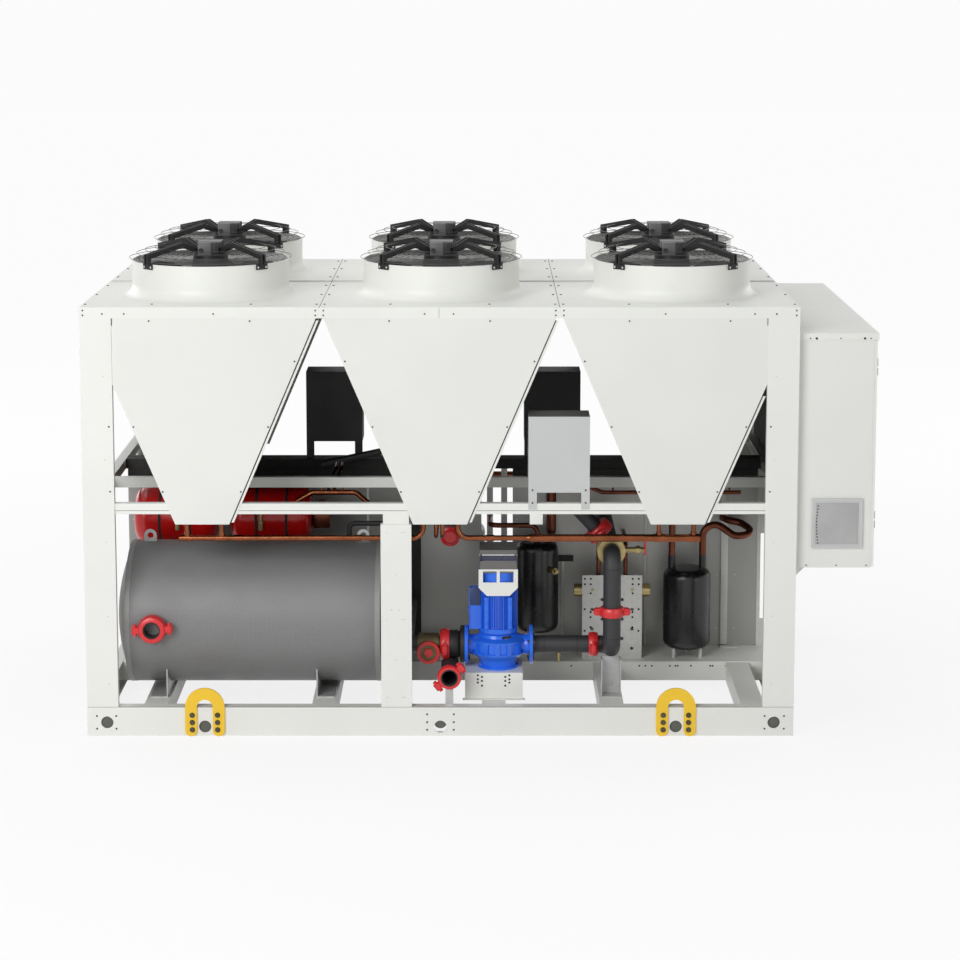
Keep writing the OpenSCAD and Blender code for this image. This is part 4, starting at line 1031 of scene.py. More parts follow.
@dataclass
class FanTops:
    """Wire guards, motor covers and small parts on the fans."""

    kit: Kit
    places: tuple[tuple[float, float], ...] = tuple((x, y) for y in (-0.51, 0.51) for x in COLUMNS)
    rings: tuple[tuple[float, float], ...] = (
        (0.415, 2.377), (0.378, 2.400), (0.335, 2.417), (0.285, 2.428))
    inner_rings: tuple[float, ...] = (0.385, 0.355, 0.325, 0.295, 0.265, 0.235, 0.205, 0.175, 0.145)
    inner_level: float = 2.371

    def build(self) -> None:
        """Adds guards, bracket screws, box covers and cable glands."""
        rings = self.rings + tuple((radius, self.inner_level) for radius in self.inner_rings)
        spots = [((x, y, z), radius) for x, y in self.places for radius, z in rings]
        self.kit.rings("fan_guards", spots, 0.0016, Finishes.WIRE)
        self.kit.screws("bracket_screws", self.bracket_screws(), 0.005, 0.003, Finishes.PLATE)
        self.covers()
        glands = Shape("motor_glands", Finishes.BLACK)
        for x, y in self.places:
            glands.rod((x - 0.040, y - 0.090, 2.416), (x - 0.040, y - 0.104, 2.416), 0.012)
        glands.done()

    def bracket_screws(self) -> list[Spot]:
        """Two screws in each rim bracket."""
        spots = []
        for x, y in self.places:
            for turn in (45, 135, 225, 315):
                out, side = heading(turn), heading(turn + 90)
                rim = Vector((x, y, 2.352)) + out * 0.409
                spots += [Spot(tuple(rim + side * shift), tuple(out)) for shift in (-0.026, 0.026)]
        return spots

    def covers(self) -> None:
        """Grey and black faces of the electronics boxes, their fronts and the fins on their sides."""
        foot = 2.4235
        repaint("fan_motors", Finishes.COVER, (-FAR, -FAR, foot), (FAR, FAR, FAR))
        for x, y in self.places:
            repaint("fan_motors", Finishes.BLACK, (x + 0.059, y - 0.06, foot), (x + 0.061, y + 0.06, FAR))
        ribs = [Spot((x + 0.0595, y + dy, 2.441), UP) for x, y in self.places
                for dy in (-0.042, -0.028, -0.014, 0.0, 0.014, 0.028, 0.042)]
        self.kit.slabs("cover_fins", ribs, (0.012, 0.004, 0.030), Finishes.BLACK)
        fronts = Shape("motor_box_fronts", Finishes.COVER)
        sides = Shape("motor_box_sides", Finishes.BLACK)
        for x, y in self.places:
            fronts.box((x - 0.056, y - 0.095, 2.388), (x + 0.012, y - 0.050, 2.456), 0.003)
            sides.box((x + 0.012, y - 0.094, 2.388), (x + 0.050, y - 0.050, 2.456), 0.003)
        fronts.done()
        sides.done()


@dataclass
class TankWork:
    """Jacket bands on the water tank, and straps and fittings on the red vessels."""

    radius: float = 0.365
    vessels: tuple[float, ...] = (-1.624, -1.112)

    def build(self) -> None:
        """Adds bands, straps and fittings."""
        bands = Shape("tank_bands", Finishes.JACKET_EDGE)
        section = band(self.radius - 0.004, self.radius + 0.0015, 0.014, 0.001)
        for x in (-1.793, -0.521):
            bands.lathe(section, (x, TANK_Y, TANK_Z), X, 96)
        bands.done()
        straps = Shape("vessel_straps", Finishes.SHADOW)
        for x in self.vessels:
            for dx in (-0.075, 0.085):
                straps.lathe(band(0.156, 0.1612, 0.007), (x + dx, -0.2, 0.95), X, 64)
        straps.done()
        valves = Shape("vessel_valves", Finishes.BRASS)
        y = -0.372
        for x in (-1.160, -1.60):
            valves.rod((x, y, 0.905), (x, y, 0.955), 0.013).rod((x, y, 0.955), (x, y, 1.0), 0.008)
            valves.rod((x, y, 0.93), (x, -0.340, 0.93), 0.008)
        valves.done()
        block = Shape("solenoid_block", Finishes.OLD_COPPER)
        block.box((-0.894, -0.25, 0.885), (-0.80, -0.16, 0.985), 0.01)
        block.rod((-0.845, -0.2, 0.985), (-0.845, -0.2, 1.03), 0.02)
        block.done()


@dataclass
class PumpWork:
    """The pump's casing in full, its motor's fins and bolts, inverter faces and stand holes."""

    kit: Kit
    x: float = 0.093
    y: float = -0.80
    axis: float = 0.398

    def build(self) -> None:
        """Adds every detail of the pump."""
        self.casing()
        self.motor()
        self.inverter()
        self.stand()

    def around(self, radius: float, z: float, count: int, start: float = 0.0) -> list[Spot]:
        """Spots round the pump's upright axis, facing outwards.

        Args:
            radius: How far they lie from the axis.
            z: Their height.
            count: How many there are.
            start: Angle of the first.
        Returns:
            The spots.
        """
        return [Spot((self.x + radius * math.cos(turn), self.y + radius * math.sin(turn), z),
                     (math.cos(turn), math.sin(turn), 0.0)) for turn in full_turn(count, start)]

    def casing(self) -> None:
        """The casing in full: ribbed volute on its foot, lantern, branches and flanges."""
        at = (self.x, self.y, 0.0)
        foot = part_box("pump_casing")[0].z
        body = Shape("pump_body", Finishes.BLUE)
        body.lathe(((0.104, foot), (0.104, foot + 0.010), (0.092, foot + 0.014), (0.096, 0.325),
                    (0.118, 0.345), (0.134, 0.358), (0.139, 0.364), (0.139, 0.372), (0.129, 0.375),
                    (0.129, 0.423), (0.139, 0.426), (0.139, 0.434), (0.126, 0.439), (0.110, 0.444),
                    (0.100, 0.447), (0.096, 0.462), (0.082, 0.470), (0.080, 0.475), (0.098, 0.476),
                    (0.098, 0.478)), at, Z, 64)
        flange = ((0.030, -0.0095), (0.097, -0.0095), (0.100, -0.0065), (0.100, 0.0065), (0.097, 0.0095),
                  (0.030, 0.0095))
        for end, way in ((-0.070, -1), (0.2625, 1)):
            body.lathe(flange, (end, self.y, self.axis), X, 48)
            neck = ((0.062, 0.06), (0.056, 0.105), (0.050, 0.125), (0.054, 0.150),
                    (0.062, abs(end - self.x) - 0.008))
            body.lathe(neck, (self.x, self.y, self.axis), X * way, 40)
        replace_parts(body.done(), "pump_casing")
        ribs = self.around(0.1335, 0.399, 14, 0.2)
        self.kit.slabs("volute_ribs", ribs, (0.054, 0.022, 0.011), Finishes.BLUE)
        slots = Shape("lantern_windows", Finishes.SHADOW)
        for turn in (-64, 116):
            out = heading(turn)
            middle = Vector(at) + out * 0.0955
            slots.bar(middle + Z * 0.449, middle + Z * 0.461, 0.050, 0.010, out)
        slots.done()
        reach, faces = 0.081, ((-0.0605, 1), (0.2530, -1), (0.2720, 1))
        circle = [(self.y + reach * math.cos(turn), self.axis + reach * math.sin(turn))
                  for turn in full_turn(8, math.pi / 8)]
        bolts = [Spot((face, y, z), (way, 0, 0)) for face, way in faces for y, z in circle]
        self.kit.screws("flange_bolts", bolts, 0.0095, 0.009, Finishes.BOLT, 6)
        reducer = Shape("suction_reducer", Finishes.BLACK)
        reducer.lathe(((0.046, -0.160), (0.072, -0.158), (0.073, -0.115), (0.066, -0.106), (0.093, -0.100),
                       (0.093, -0.0798), (0.046, -0.0798)), (0.0, self.y, self.axis), X, 48)
        reducer.done()

    def motor(self) -> None:
        """Motor side bars with their bolts, the terminal box lid in a darker blue that is painted shade, and
        the cooling fins.
        """
        x, y, spread = self.x, self.y, (-0.060, 0.060)
        bars = Shape("motor_bars", Finishes.BLUE)
        for dx in spread:
            bars.box((x + dx - 0.011, y - 0.094, 0.50), (x + dx + 0.011, y - 0.070, 0.665), 0.003)
        bars.box((x - 0.150, y - 0.043, 0.480), (x - 0.144, y + 0.043, 0.706), 0.004)
        bars.box((x - 0.153, y - 0.040, 0.585), (x - 0.147, y + 0.040, 0.594))
        bars.done()
        # The lid is a thin plate; its darker blue is painted shade on the terminal box.
        lid = Shape("terminal_box_lid_painted_shade", Finishes.SHADED_BLUE)
        lid.box((x - 0.1475, y - 0.0430, 0.612), (x - 0.088, y - 0.0390, 0.7035), 0.001).done()
        spots = [Spot((x + dx, y - 0.094, z), FRONT) for dx in spread for z in (0.53, 0.585, 0.64)]
        self.kit.screws("motor_bolts", spots, 0.007, 0.006, Finishes.BLUE, 6)
        fins = self.around(0.0915, 0.585, 48, 0.03)
        self.kit.slabs("motor_fins", fins, (0.165, 0.0022, 0.013), Finishes.BLUE)

    def inverter(self) -> None:
        """White front bracket, dark display band and pale lid of the inverter."""
        front = self.y - 0.1005
        node, display = "pump_inverter", 0.8551
        repaint(node, Finishes.WHITE, (-FAR, -FAR, 0.0), (FAR, front, 0.816))
        repaint(node, Finishes.BOX_TOP, (-FAR, front - 0.0007, 0.70), (FAR, front + 0.001, display), -Y)
        repaint(node, Finishes.DISPLAY, (-FAR, front - 0.003, display), (FAR, self.y - 0.05, 0.8868))
        repaint(node, Finishes.BOX_TOP, (-FAR, -FAR, 0.8935), (FAR, FAR, FAR))
        lid = Shape("inverter_lid", Finishes.BOX)
        lid.box((self.x - 0.097, self.y - 0.1035, 0.887), (self.x + 0.097, self.y - 0.1008, 0.893)).done()
        clips = [Spot((self.x + dx, self.y - 0.1035, 0.890), FRONT) for dx in (-0.088, 0.088)]
        self.kit.screws("inverter_screws", clips, 0.005, 0.003, Finishes.SCREW)

    def stand(self) -> None:
        """Hole pattern and floor flange of the pump stand."""
        low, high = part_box("pump_stand")
        columns = {0.0: (0.270, 0.249, 0.232), 0.021: (0.262, 0.241, 0.216)}
        places = [(dx, z) for dx, rows in columns.items() for z in rows]
        mirrored = [(0.161 - dx, z) for dx, z in places]
        holes = [Spot((self.x - 0.104 + dx, low.y, z), FRONT) for dx, z in places + mirrored]
        self.kit.holes("stand_holes", holes, 0.0055)
        flange = Shape("stand_flange", Finishes.WHITE)
        flange.box((low.x - 0.012, low.y - 0.022, low.z + 0.001),
                   (high.x + 0.012, low.y, low.z + 0.006)).done()


@dataclass
class PipeWork:
    """Colours and joints of the water pipes, small taps, and the receivers in full."""

    kit: Kit
    riser: tuple[float, float] = (0.672, -0.930)
    receiver_y: float = -0.10
    shoulder: float = 0.045

    def build(self) -> None:
        """Adds every detail of the pipes and receivers."""
        self.colours()
        self.joints()
        self.taps()
        self.receivers()

    def receivers(self) -> None:
        """The two black receivers in full, with round shoulders, sleeves and bright legs."""
        shells = Shape("receiver_shells", Finishes.VESSEL)
        turns = [math.radians(turn) for turn in range(0, 91, 15)]
        curve = [(self.shoulder * math.sin(turn), self.shoulder * (1 - math.cos(turn))) for turn in turns]
        for x, foot, radius, height in ((0.310, 0.291, 0.114, 0.494), (1.121, 0.201, 0.128, 0.437)):
            inner = radius - self.shoulder
            profile = [(inner + out, up) for out, up in curve]
            profile += [(inner + out, height - up) for out, up in reversed(curve)]
            shells.lathe(profile, (x, self.receiver_y, foot), Z, 72)
        for side in (-0.083, 0.083):
            shells.rod((1.121 + side, self.receiver_y, 0.613), (1.121 + side, self.receiver_y, 0.710), 0.020)
        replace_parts(shells.done(60.0), "liquid_receivers")
        legs = Shape("receiver_legs", Finishes.PLATE)
        for turn in (90, 210, 330):
            leg = Vector((1.121, self.receiver_y, 0.0)) + heading(turn) * 0.083
            legs.rod(leg + Z * 0.149, leg + Z * 0.206, 0.010)
        legs.done()

    def colours(self) -> None:
        """Rubber joint, red cap, brass valve and red lever on their CAD pieces."""
        repaint("suction_line", Finishes.FOAM, (-0.46, -0.9, 0.2), (-0.3231, 0.2, 0.6))
        repaint("suction_line", Finishes.BLACK, (-0.158, -1, 0.2), (-0.079, 0, 0.6))
        repaint("suction_line", Finishes.RED, (-0.33, -0.91, 0.3), (-0.19, -0.8795, 0.5))
        repaint("suction_line", Finishes.OLD_BRASS, (-0.31, -0.894, 0.33), (-0.21, -0.892, 0.43), -Y)
        repaint("discharge_line", Finishes.BRASS, (0.58, -0.847, 0.80), (0.842, -0.747, 1.0))
        repaint("discharge_line", Finishes.RED, (0.8425, -0.9, 0.80), (0.86, -0.7, 1.0))

    def joints(self) -> None:
        """Glued joints round the insulation."""
        x, y = self.riser
        rings = Shape("insulation_joints", Finishes.SHADOW)
        section = band(0.0440, 0.0458, 0.002)
        for z in (0.466, 0.826):
            rings.lathe(section, (x, y, z), Z)
        for along in (0.33, 0.50):
            rings.lathe(section, (along, -0.80, 0.398), X)
        for depth in (-0.70, -0.45, -0.15):
            rings.lathe(section, (x, depth, 0.893), Y)
        rings.done()

    def taps(self) -> None:
        """Brass taps and stem nut, the partition's strap, the plate's holes and a receiver's seam."""
        taps = Shape("brass_taps", Finishes.BRASS)
        for start, middle, end, thick, thin in (
                ((0.405, -0.80, 0.356), (0.405, -0.80, 0.318), (0.405, -0.80, 0.300), 0.009, 0.006),
                ((0.382, -0.185, 0.645), (0.402, -0.222, 0.645), (0.412, -0.240, 0.645), 0.017, 0.011)):
            taps.rod(start, middle, thick).rod(middle, end, thin)
        taps.rod((0.800, -0.797, 0.893), (0.822, -0.797, 0.893), 0.022, sides=6)
        taps.done()
        strap = Shape("partition_strap", Finishes.BLACK)
        strap.box((0.424, 0.092, 0.628), (0.512, 0.1095, 0.658)).done()
        columns = {0.566: (0.588, 0.558, 0.420, 0.300), 0.598: (0.588, 0.558, 0.508, 0.404, 0.376, 0.320),
                   0.824: (0.588, 0.558, 0.508, 0.404, 0.376, 0.320), 0.857: (0.588, 0.558, 0.420, 0.300)}
        spots = [Spot((across, -0.154, up), FRONT) for across, ups in columns.items() for up in ups]
        self.kit.holes("drier_plate_holes", spots, 0.0058)
        seams = Shape("receiver_seams", Finishes.SHADOW)
        seams.lathe(band(0.110, 0.1146, 0.0015), (0.31, self.receiver_y, 0.549), Z, 64).done()


@dataclass(frozen=True)
class Coupling:
    """A grooved pipe coupling: its middle, the ways of pipe and ears, and the sizes of its ring."""

    at: Point
    axis: Point
    ears: Point
    bore: float = 0.0443
    wall: float = 0.0155
    half: float = 0.024
    taper: float = 0.0

    def draw(self, shape: Shape) -> None:
        """Adds the crowned ring, its two bolt ears and their nuts.

        Args:
            shape: The shape that takes the coupling.
        """
        middle, axis = Vector(self.at), Vector(self.axis).normalized()
        ears = Vector(self.ears).normalized()
        across = axis.cross(ears)
        outer, half = self.bore + self.wall, self.half
        ring = ((self.bore, -half), (outer - 0.004, -half), (outer, -half + 0.005), (outer + 0.0025, 0.0),
                (outer - 0.5 * self.taper, half - 0.005), (outer - 0.004 - self.taper, half),
                (self.bore, half), (self.bore, -half))
        shape.lathe(ring, middle, axis, 48)
        for side in (-1, 1):
            tip = middle + ears * side * (outer + 0.016)
            shape.bar(middle + ears * side * (outer - 0.012), tip, 0.036, 0.030, across)
            shape.rod(tip - across * 0.017, tip + across * 0.017, 0.018)
            shape.rod(tip - across * 0.030, tip + across * 0.030, 0.0105, sides=6)


@dataclass
class CouplingWork:
    """Red couplings in full: crowned rings, bolt ears and nuts, and the capped branch."""

    couplings: tuple[Coupling, ...] = (
        Coupling((-1.657, -1.050, TANK_Z), FRONT, (0.9986, 0, 0.0523), wall=0.027, half=0.030, taper=0.013),
        Coupling((-0.155, -1.050, 0.292), FRONT, (0.766, 0, 0.643)),
        Coupling((-0.181, -0.800, 0.398), (1, 0, 0), (0, 1, 0), wall=0.036),
        Coupling((0.583, -0.800, 0.398), (1, 0, 0), (0, 1, 0), 0.0453),
        Coupling((0.672, -0.930, 0.602), (0, 0, 1), (1, 0, 0), 0.0453),
        Coupling((0.6186, -0.600, 0.9503), (-0.682, 0, 0.7314), (0, 1, 0), 0.0383, 0.033, 0.030),
    )
    cap: Point = (-0.158, -0.330, 0.857)

    def build(self) -> None:
        """Draws every coupling as one piece in place of the plain ones."""
        shape = Shape("red_couplings", Finishes.COUPLING)
        for coupling in self.couplings:
            coupling.draw(shape)
        profile = ((0.0, -0.012), (0.030, -0.012), (0.036, -0.006), (0.040, 0.0), (0.052, 0.004),
                   (0.052, 0.046), (0.040, 0.048))
        shape.lathe(profile, self.cap, Y, 40)
        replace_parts(shape.done(), "pipe_couplings")
        pipe = Shape("capped_pipe", Finishes.FOAM)
        pipe.lathe(((0.034, 0.04), (0.034, 0.30), (0.037, 0.31), (0.037, 0.43), (0.034, 0.4395)),
                   self.cap, Y, 32).done()
        lips = Shape("coupling_gaskets", Finishes.BLACK)
        section = ((0.0375, 0.018), (0.0442, 0.018), (0.0442, 0.0245), (0.0375, 0.0245), (0.0375, 0.018))
        for coupling in self.couplings[:2]:
            lips.lathe(section, coupling.at, Vector(coupling.axis), 40)
        lips.done()


@dataclass
class CopperWork:
    """Copper headers, risers and loops as bent tubes with brazed sleeves."""

    front: float = -1.0
    header: float = 1.0
    back: float = 0.110
    hung: tuple[float, float] = (-0.395, 1.112)
    receiver: tuple[float, float, float] = (1.121, -0.1, 0.710)

    def build(self) -> None:
        """Draws the copper in place of the plain CAD pipes."""
        self.headers()
        self.gas_pipes()
        self.lagged_pipes()

    def headers(self) -> None:
        """The two front headers with their risers, tees and drop pipes."""
        y, z, top = self.front, self.header, COIL_FOOT
        pipes = Shape("copper_pipes", Finishes.COPPER)
        pipes.tube(((-1.517, y, z), (-0.287, y, z), (-0.287, y, top)), 0.014, 0.055)
        pipes.tube(((-0.113, y, top), (-0.113, y, z), (1.110, y, z)), 0.014, 0.055)
        pipes.rod((0.25, y, z), (1.110, y, z), 0.019)
        pipes.rod((0.236, y, z), (0.25, y, z), 0.0145, 0.019)
        for x in (-0.222, -0.190):
            pipes.tube(((x, y, 1.142), (x, y, z), (x, self.back, z)), 0.011, 0.05)
        for column, sleeve in ((COLUMNS[0], 0.014), (COLUMNS[2], 0.019)):
            for x in (column - 0.087, column + 0.087):
                pipes.rod((x, y, z), (x, y, top), 0.011)
                pipes.rod((x - 0.026, y, z), (x + 0.026, y, z), sleeve + 0.003)
                pipes.rod((x, y, z), (x, y, z + 0.034), 0.0145)
        for x in (-1.22, -0.62, -0.36, 0.05):
            pipes.rod((x - 0.022, y, z), (x + 0.022, y, z), 0.0165)
        y, z = self.hung
        pipes.tube(((-0.968, y, 1.066), (-0.886, y, z), (-0.654, y, z), (-0.591, y, 1.056)), 0.014, 0.05)
        for x in (-0.834, -0.725):
            pipes.rod((x, y, z), (x, y, 1.142), 0.007)
        for x in (-0.80, -0.77):
            pipes.tube(((x, y, z), (x + 0.005, y + 0.06, 1.16), (x + 0.035, y + 0.16, 1.215),
                        (x + 0.035, y + 0.25, 1.22)), 0.009, 0.03)
        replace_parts(pipes.done(), "copper_headers")

    def gas_pipes(self) -> None:
        """Browned pipes: swan neck, receiver and drier pipes, and the pipe hung on the right."""
        x, y, z = self.receiver
        dark = Shape("browned_pipes", Finishes.OLD_COPPER)
        neck = ((x + 0.083, y, z), (x + 0.083, y, 0.845), (1.272, y, 0.885), (1.375, y, 0.812),
                (1.445, y + 0.01, 0.815), (1.474, y + 0.07, 0.832), (1.42, y + 0.13, 0.858),
                (1.35, y + 0.15, 0.868), (1.33, self.back, 0.870))
        dark.tube(neck, 0.0195, 0.06, 18)
        dark.tube(((x - 0.083, y, z), (x - 0.083, y, 1.09), (x - 0.083, self.back, 1.09)), 0.018, 0.05, 18)
        for across in (0.6405, 0.7865):
            foot = (across, -0.1147, 0.553)
            dark.tube((foot, (across, -0.1147, 0.793), (across, self.back, 0.793)), 0.0115, 0.05)
            dark.rod(foot, (across, -0.1147, 0.59), 0.016)
        dark.tube(((0.39, self.back, 0.80), (0.39, 0.06, 0.80), (0.39, 0.06, 1.07), (0.39, self.back, 1.07)),
                  0.026, 0.045, 18)
        dark.tube(((0.31, y, 0.78), (0.31, y, 0.871), (0.055, y, 0.871), (0.055, self.back, 0.871)),
                  0.014, 0.045)
        y, z = self.hung
        dark.tube(((0.575, y, 1.142), (0.645, y, z), (1.375, y, z)), 0.011, 0.04)
        for across in (0.70, 1.315):
            dark.rod((across, y, z), (across, y, 1.142), 0.0055)
        dark.done()

    def lagged_pipes(self) -> None:
        """Black lagged pipes that cross behind the front beam."""
        black = Shape("lagged_pipes", Finishes.FOAM)
        black.tube(((-0.695, -0.3, 0.82), (-0.695, -0.3, 0.925), (-0.42, -0.3, 0.925),
                    (-0.42, self.back, 0.925)), 0.0135, 0.03)
        black.tube(((-0.86, 0.02, 1.185), (-0.50, 0.02, 1.262), (-0.42, 0.10, 1.268), (-0.42, 0.16, 1.2)),
                   0.019, 0.04)
        black.done()


@dataclass
class DriveWork:
    """Colours, lips and screws of the drive boxes."""

    kit: Kit

    def build(self) -> None:
        """Dresses the drive boxes."""
        repaint("drive_boxes", Finishes.DARK_BOX, (-FAR, 0.0, 0.0), (FAR, FAR, FAR))
        repaint("drive_boxes", Finishes.BOX_TOP, (-FAR, -FAR, 1.63), (FAR, 0.0, FAR), Z)
        lips = Shape("drive_box_lips", Finishes.BOX)
        lips.box((0.242, -1.0975, 1.629), (0.548, -1.0955, 1.6365))
        lips.box((0.242, -1.0972, 1.2525), (0.548, -1.0955, 1.2575))
        lips.done()
        spots = [Spot((x, -1.0962, z), FRONT) for x in (0.262, 0.528) for z in (1.20, 1.265)]
        self.kit.screws("drive_box_screws", spots, 0.0045, 0.002, Finishes.SCREW)


@dataclass
class PartitionWork:
    """Folds and strips of the zinc partition, and painted shade on the partition and on the inner beam."""

    kit: Kit
    face: float = 0.1098

    def build(self) -> None:
        """Dresses the partition, the inner beam and the middle rail."""
        # Painted shade: the inner beam under the coils is painted dark for the shade it lies in.
        repaint("long_beams", Finishes.SHADOW, (-FAR, 0.10, 1.10), (FAR, 0.23, 1.30))
        repaint("partition_panels", Finishes.BLACK, (0.03, 0.1145, 0.1), (0.155, 0.15, 1.2))
        # Painted shade: dark sheets on the partition's face where it lies in shade, a column beside the
        # centre post and a band under the inner beam.
        dark = Shape("partition_painted_shade", Finishes.SHADOW)
        dark.box((-0.376, self.face - 0.004, 0.19), (-0.324, self.face, 1.10))
        for start, end in ((-1.925, 0.008), (0.179, 1.525)):
            dark.box((start, self.face - 0.003, 1.096), (end, self.face, 1.142))
        dark.done()
        folds = Shape("partition_folds", Finishes.PLATE)
        for low, high, bottom, top in ((0.445, 0.461, 0.16, 0.64), (1.322, 1.361, 0.16, 1.10)):
            folds.box((low, self.face - 0.012, bottom), (high, self.face, top), 0.002)
        folds.box((1.322, self.face - 0.05, 0.150), (1.42, self.face, 0.156))
        for x in (-1.55, -1.15, -0.62, 0.90):
            folds.box((x, self.face - 0.008, 0.155), (x + 0.014, self.face, 1.10), 0.002)
        for end, bottom, top in ((1.575, 0.782, 1.142), (1.540, 0.304, 0.782), (1.575, 0.146, 0.304)):
            folds.box((1.521, self.face - 0.004, bottom), (end, self.face, top))
        folds.done()
        places = (0.4922, 0.6240, 0.7104, 0.8590, 0.8914, 0.9260, 1.0238, 1.0540, 1.0659, 1.1372, 1.2415,
                  1.2539, 1.3263)
        spots = [Spot((x, -0.225, 0.125), FRONT) for x in places]
        self.kit.holes("middle_rail_holes", spots, 0.005)
        screws = [Spot((x, self.face - 0.0002, z), FRONT) for x in (-1.9, -1.0, 0.2, 0.86, 1.30, 1.40)
                  for z in (0.25, 0.55, 0.86)]
        self.kit.screws("partition_screws", screws, 0.005, 0.002, Finishes.BOX)


@dataclass
class CabinetWork:
    """Screws, joint line and vent of the electric cabinet."""

    kit: Kit
    front: float = -1.05
    skirt: float = -1.058

    def build(self) -> None:
        """Dresses the cabinet."""
        rows = ((self.skirt, 2.025), (self.front, 0.871))
        small = [Spot((x, y, z), FRONT) for y, z in rows for x in CABINET_SCREWS]
        self.kit.screws("cabinet_screws", small, 0.0035, 0.0015, Finishes.SCREW)
        large = [Spot((x, self.skirt, 2.025), FRONT) for x in (1.673, 1.913)]
        self.kit.screws("cabinet_bolts", large, 0.006, 0.002, Finishes.SCREW)
        # Painted shade: the cabinet's inner wall, facing the coils, is painted dark for the shade it stands
        # in.
        repaint("cabinet_body", Finishes.SHADOW, (1.58, -FAR, 0.0), (1.59, FAR, FAR), -X)
        line = Shape("cabinet_joint", Finishes.SHADOW)
        line.box((1.5852, self.front - 0.0008, 0.862), (1.5895, self.front + 0.001, 2.016)).done()
        low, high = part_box("cabinet_vent")
        panel = Shape("vent_filter", Finishes.VENT)
        panel.box((low.x + 0.022, low.y - 0.0015, low.z + 0.022),
                  (high.x - 0.022, low.y + 0.002, high.z - 0.022), 0.0012).done()
        dashes = []
        for step in range(13):
            share = step / 12
            x = low.x + 0.032 - 0.008 * math.sin(math.pi * share)
            dashes.append(Spot((x, low.y - 0.0016, low.z + 0.027 + 0.19 * share), FRONT))
        self.kit.slabs("vent_dashes", dashes, (0.0065, 0.006, 0.001), Finishes.SHADOW)


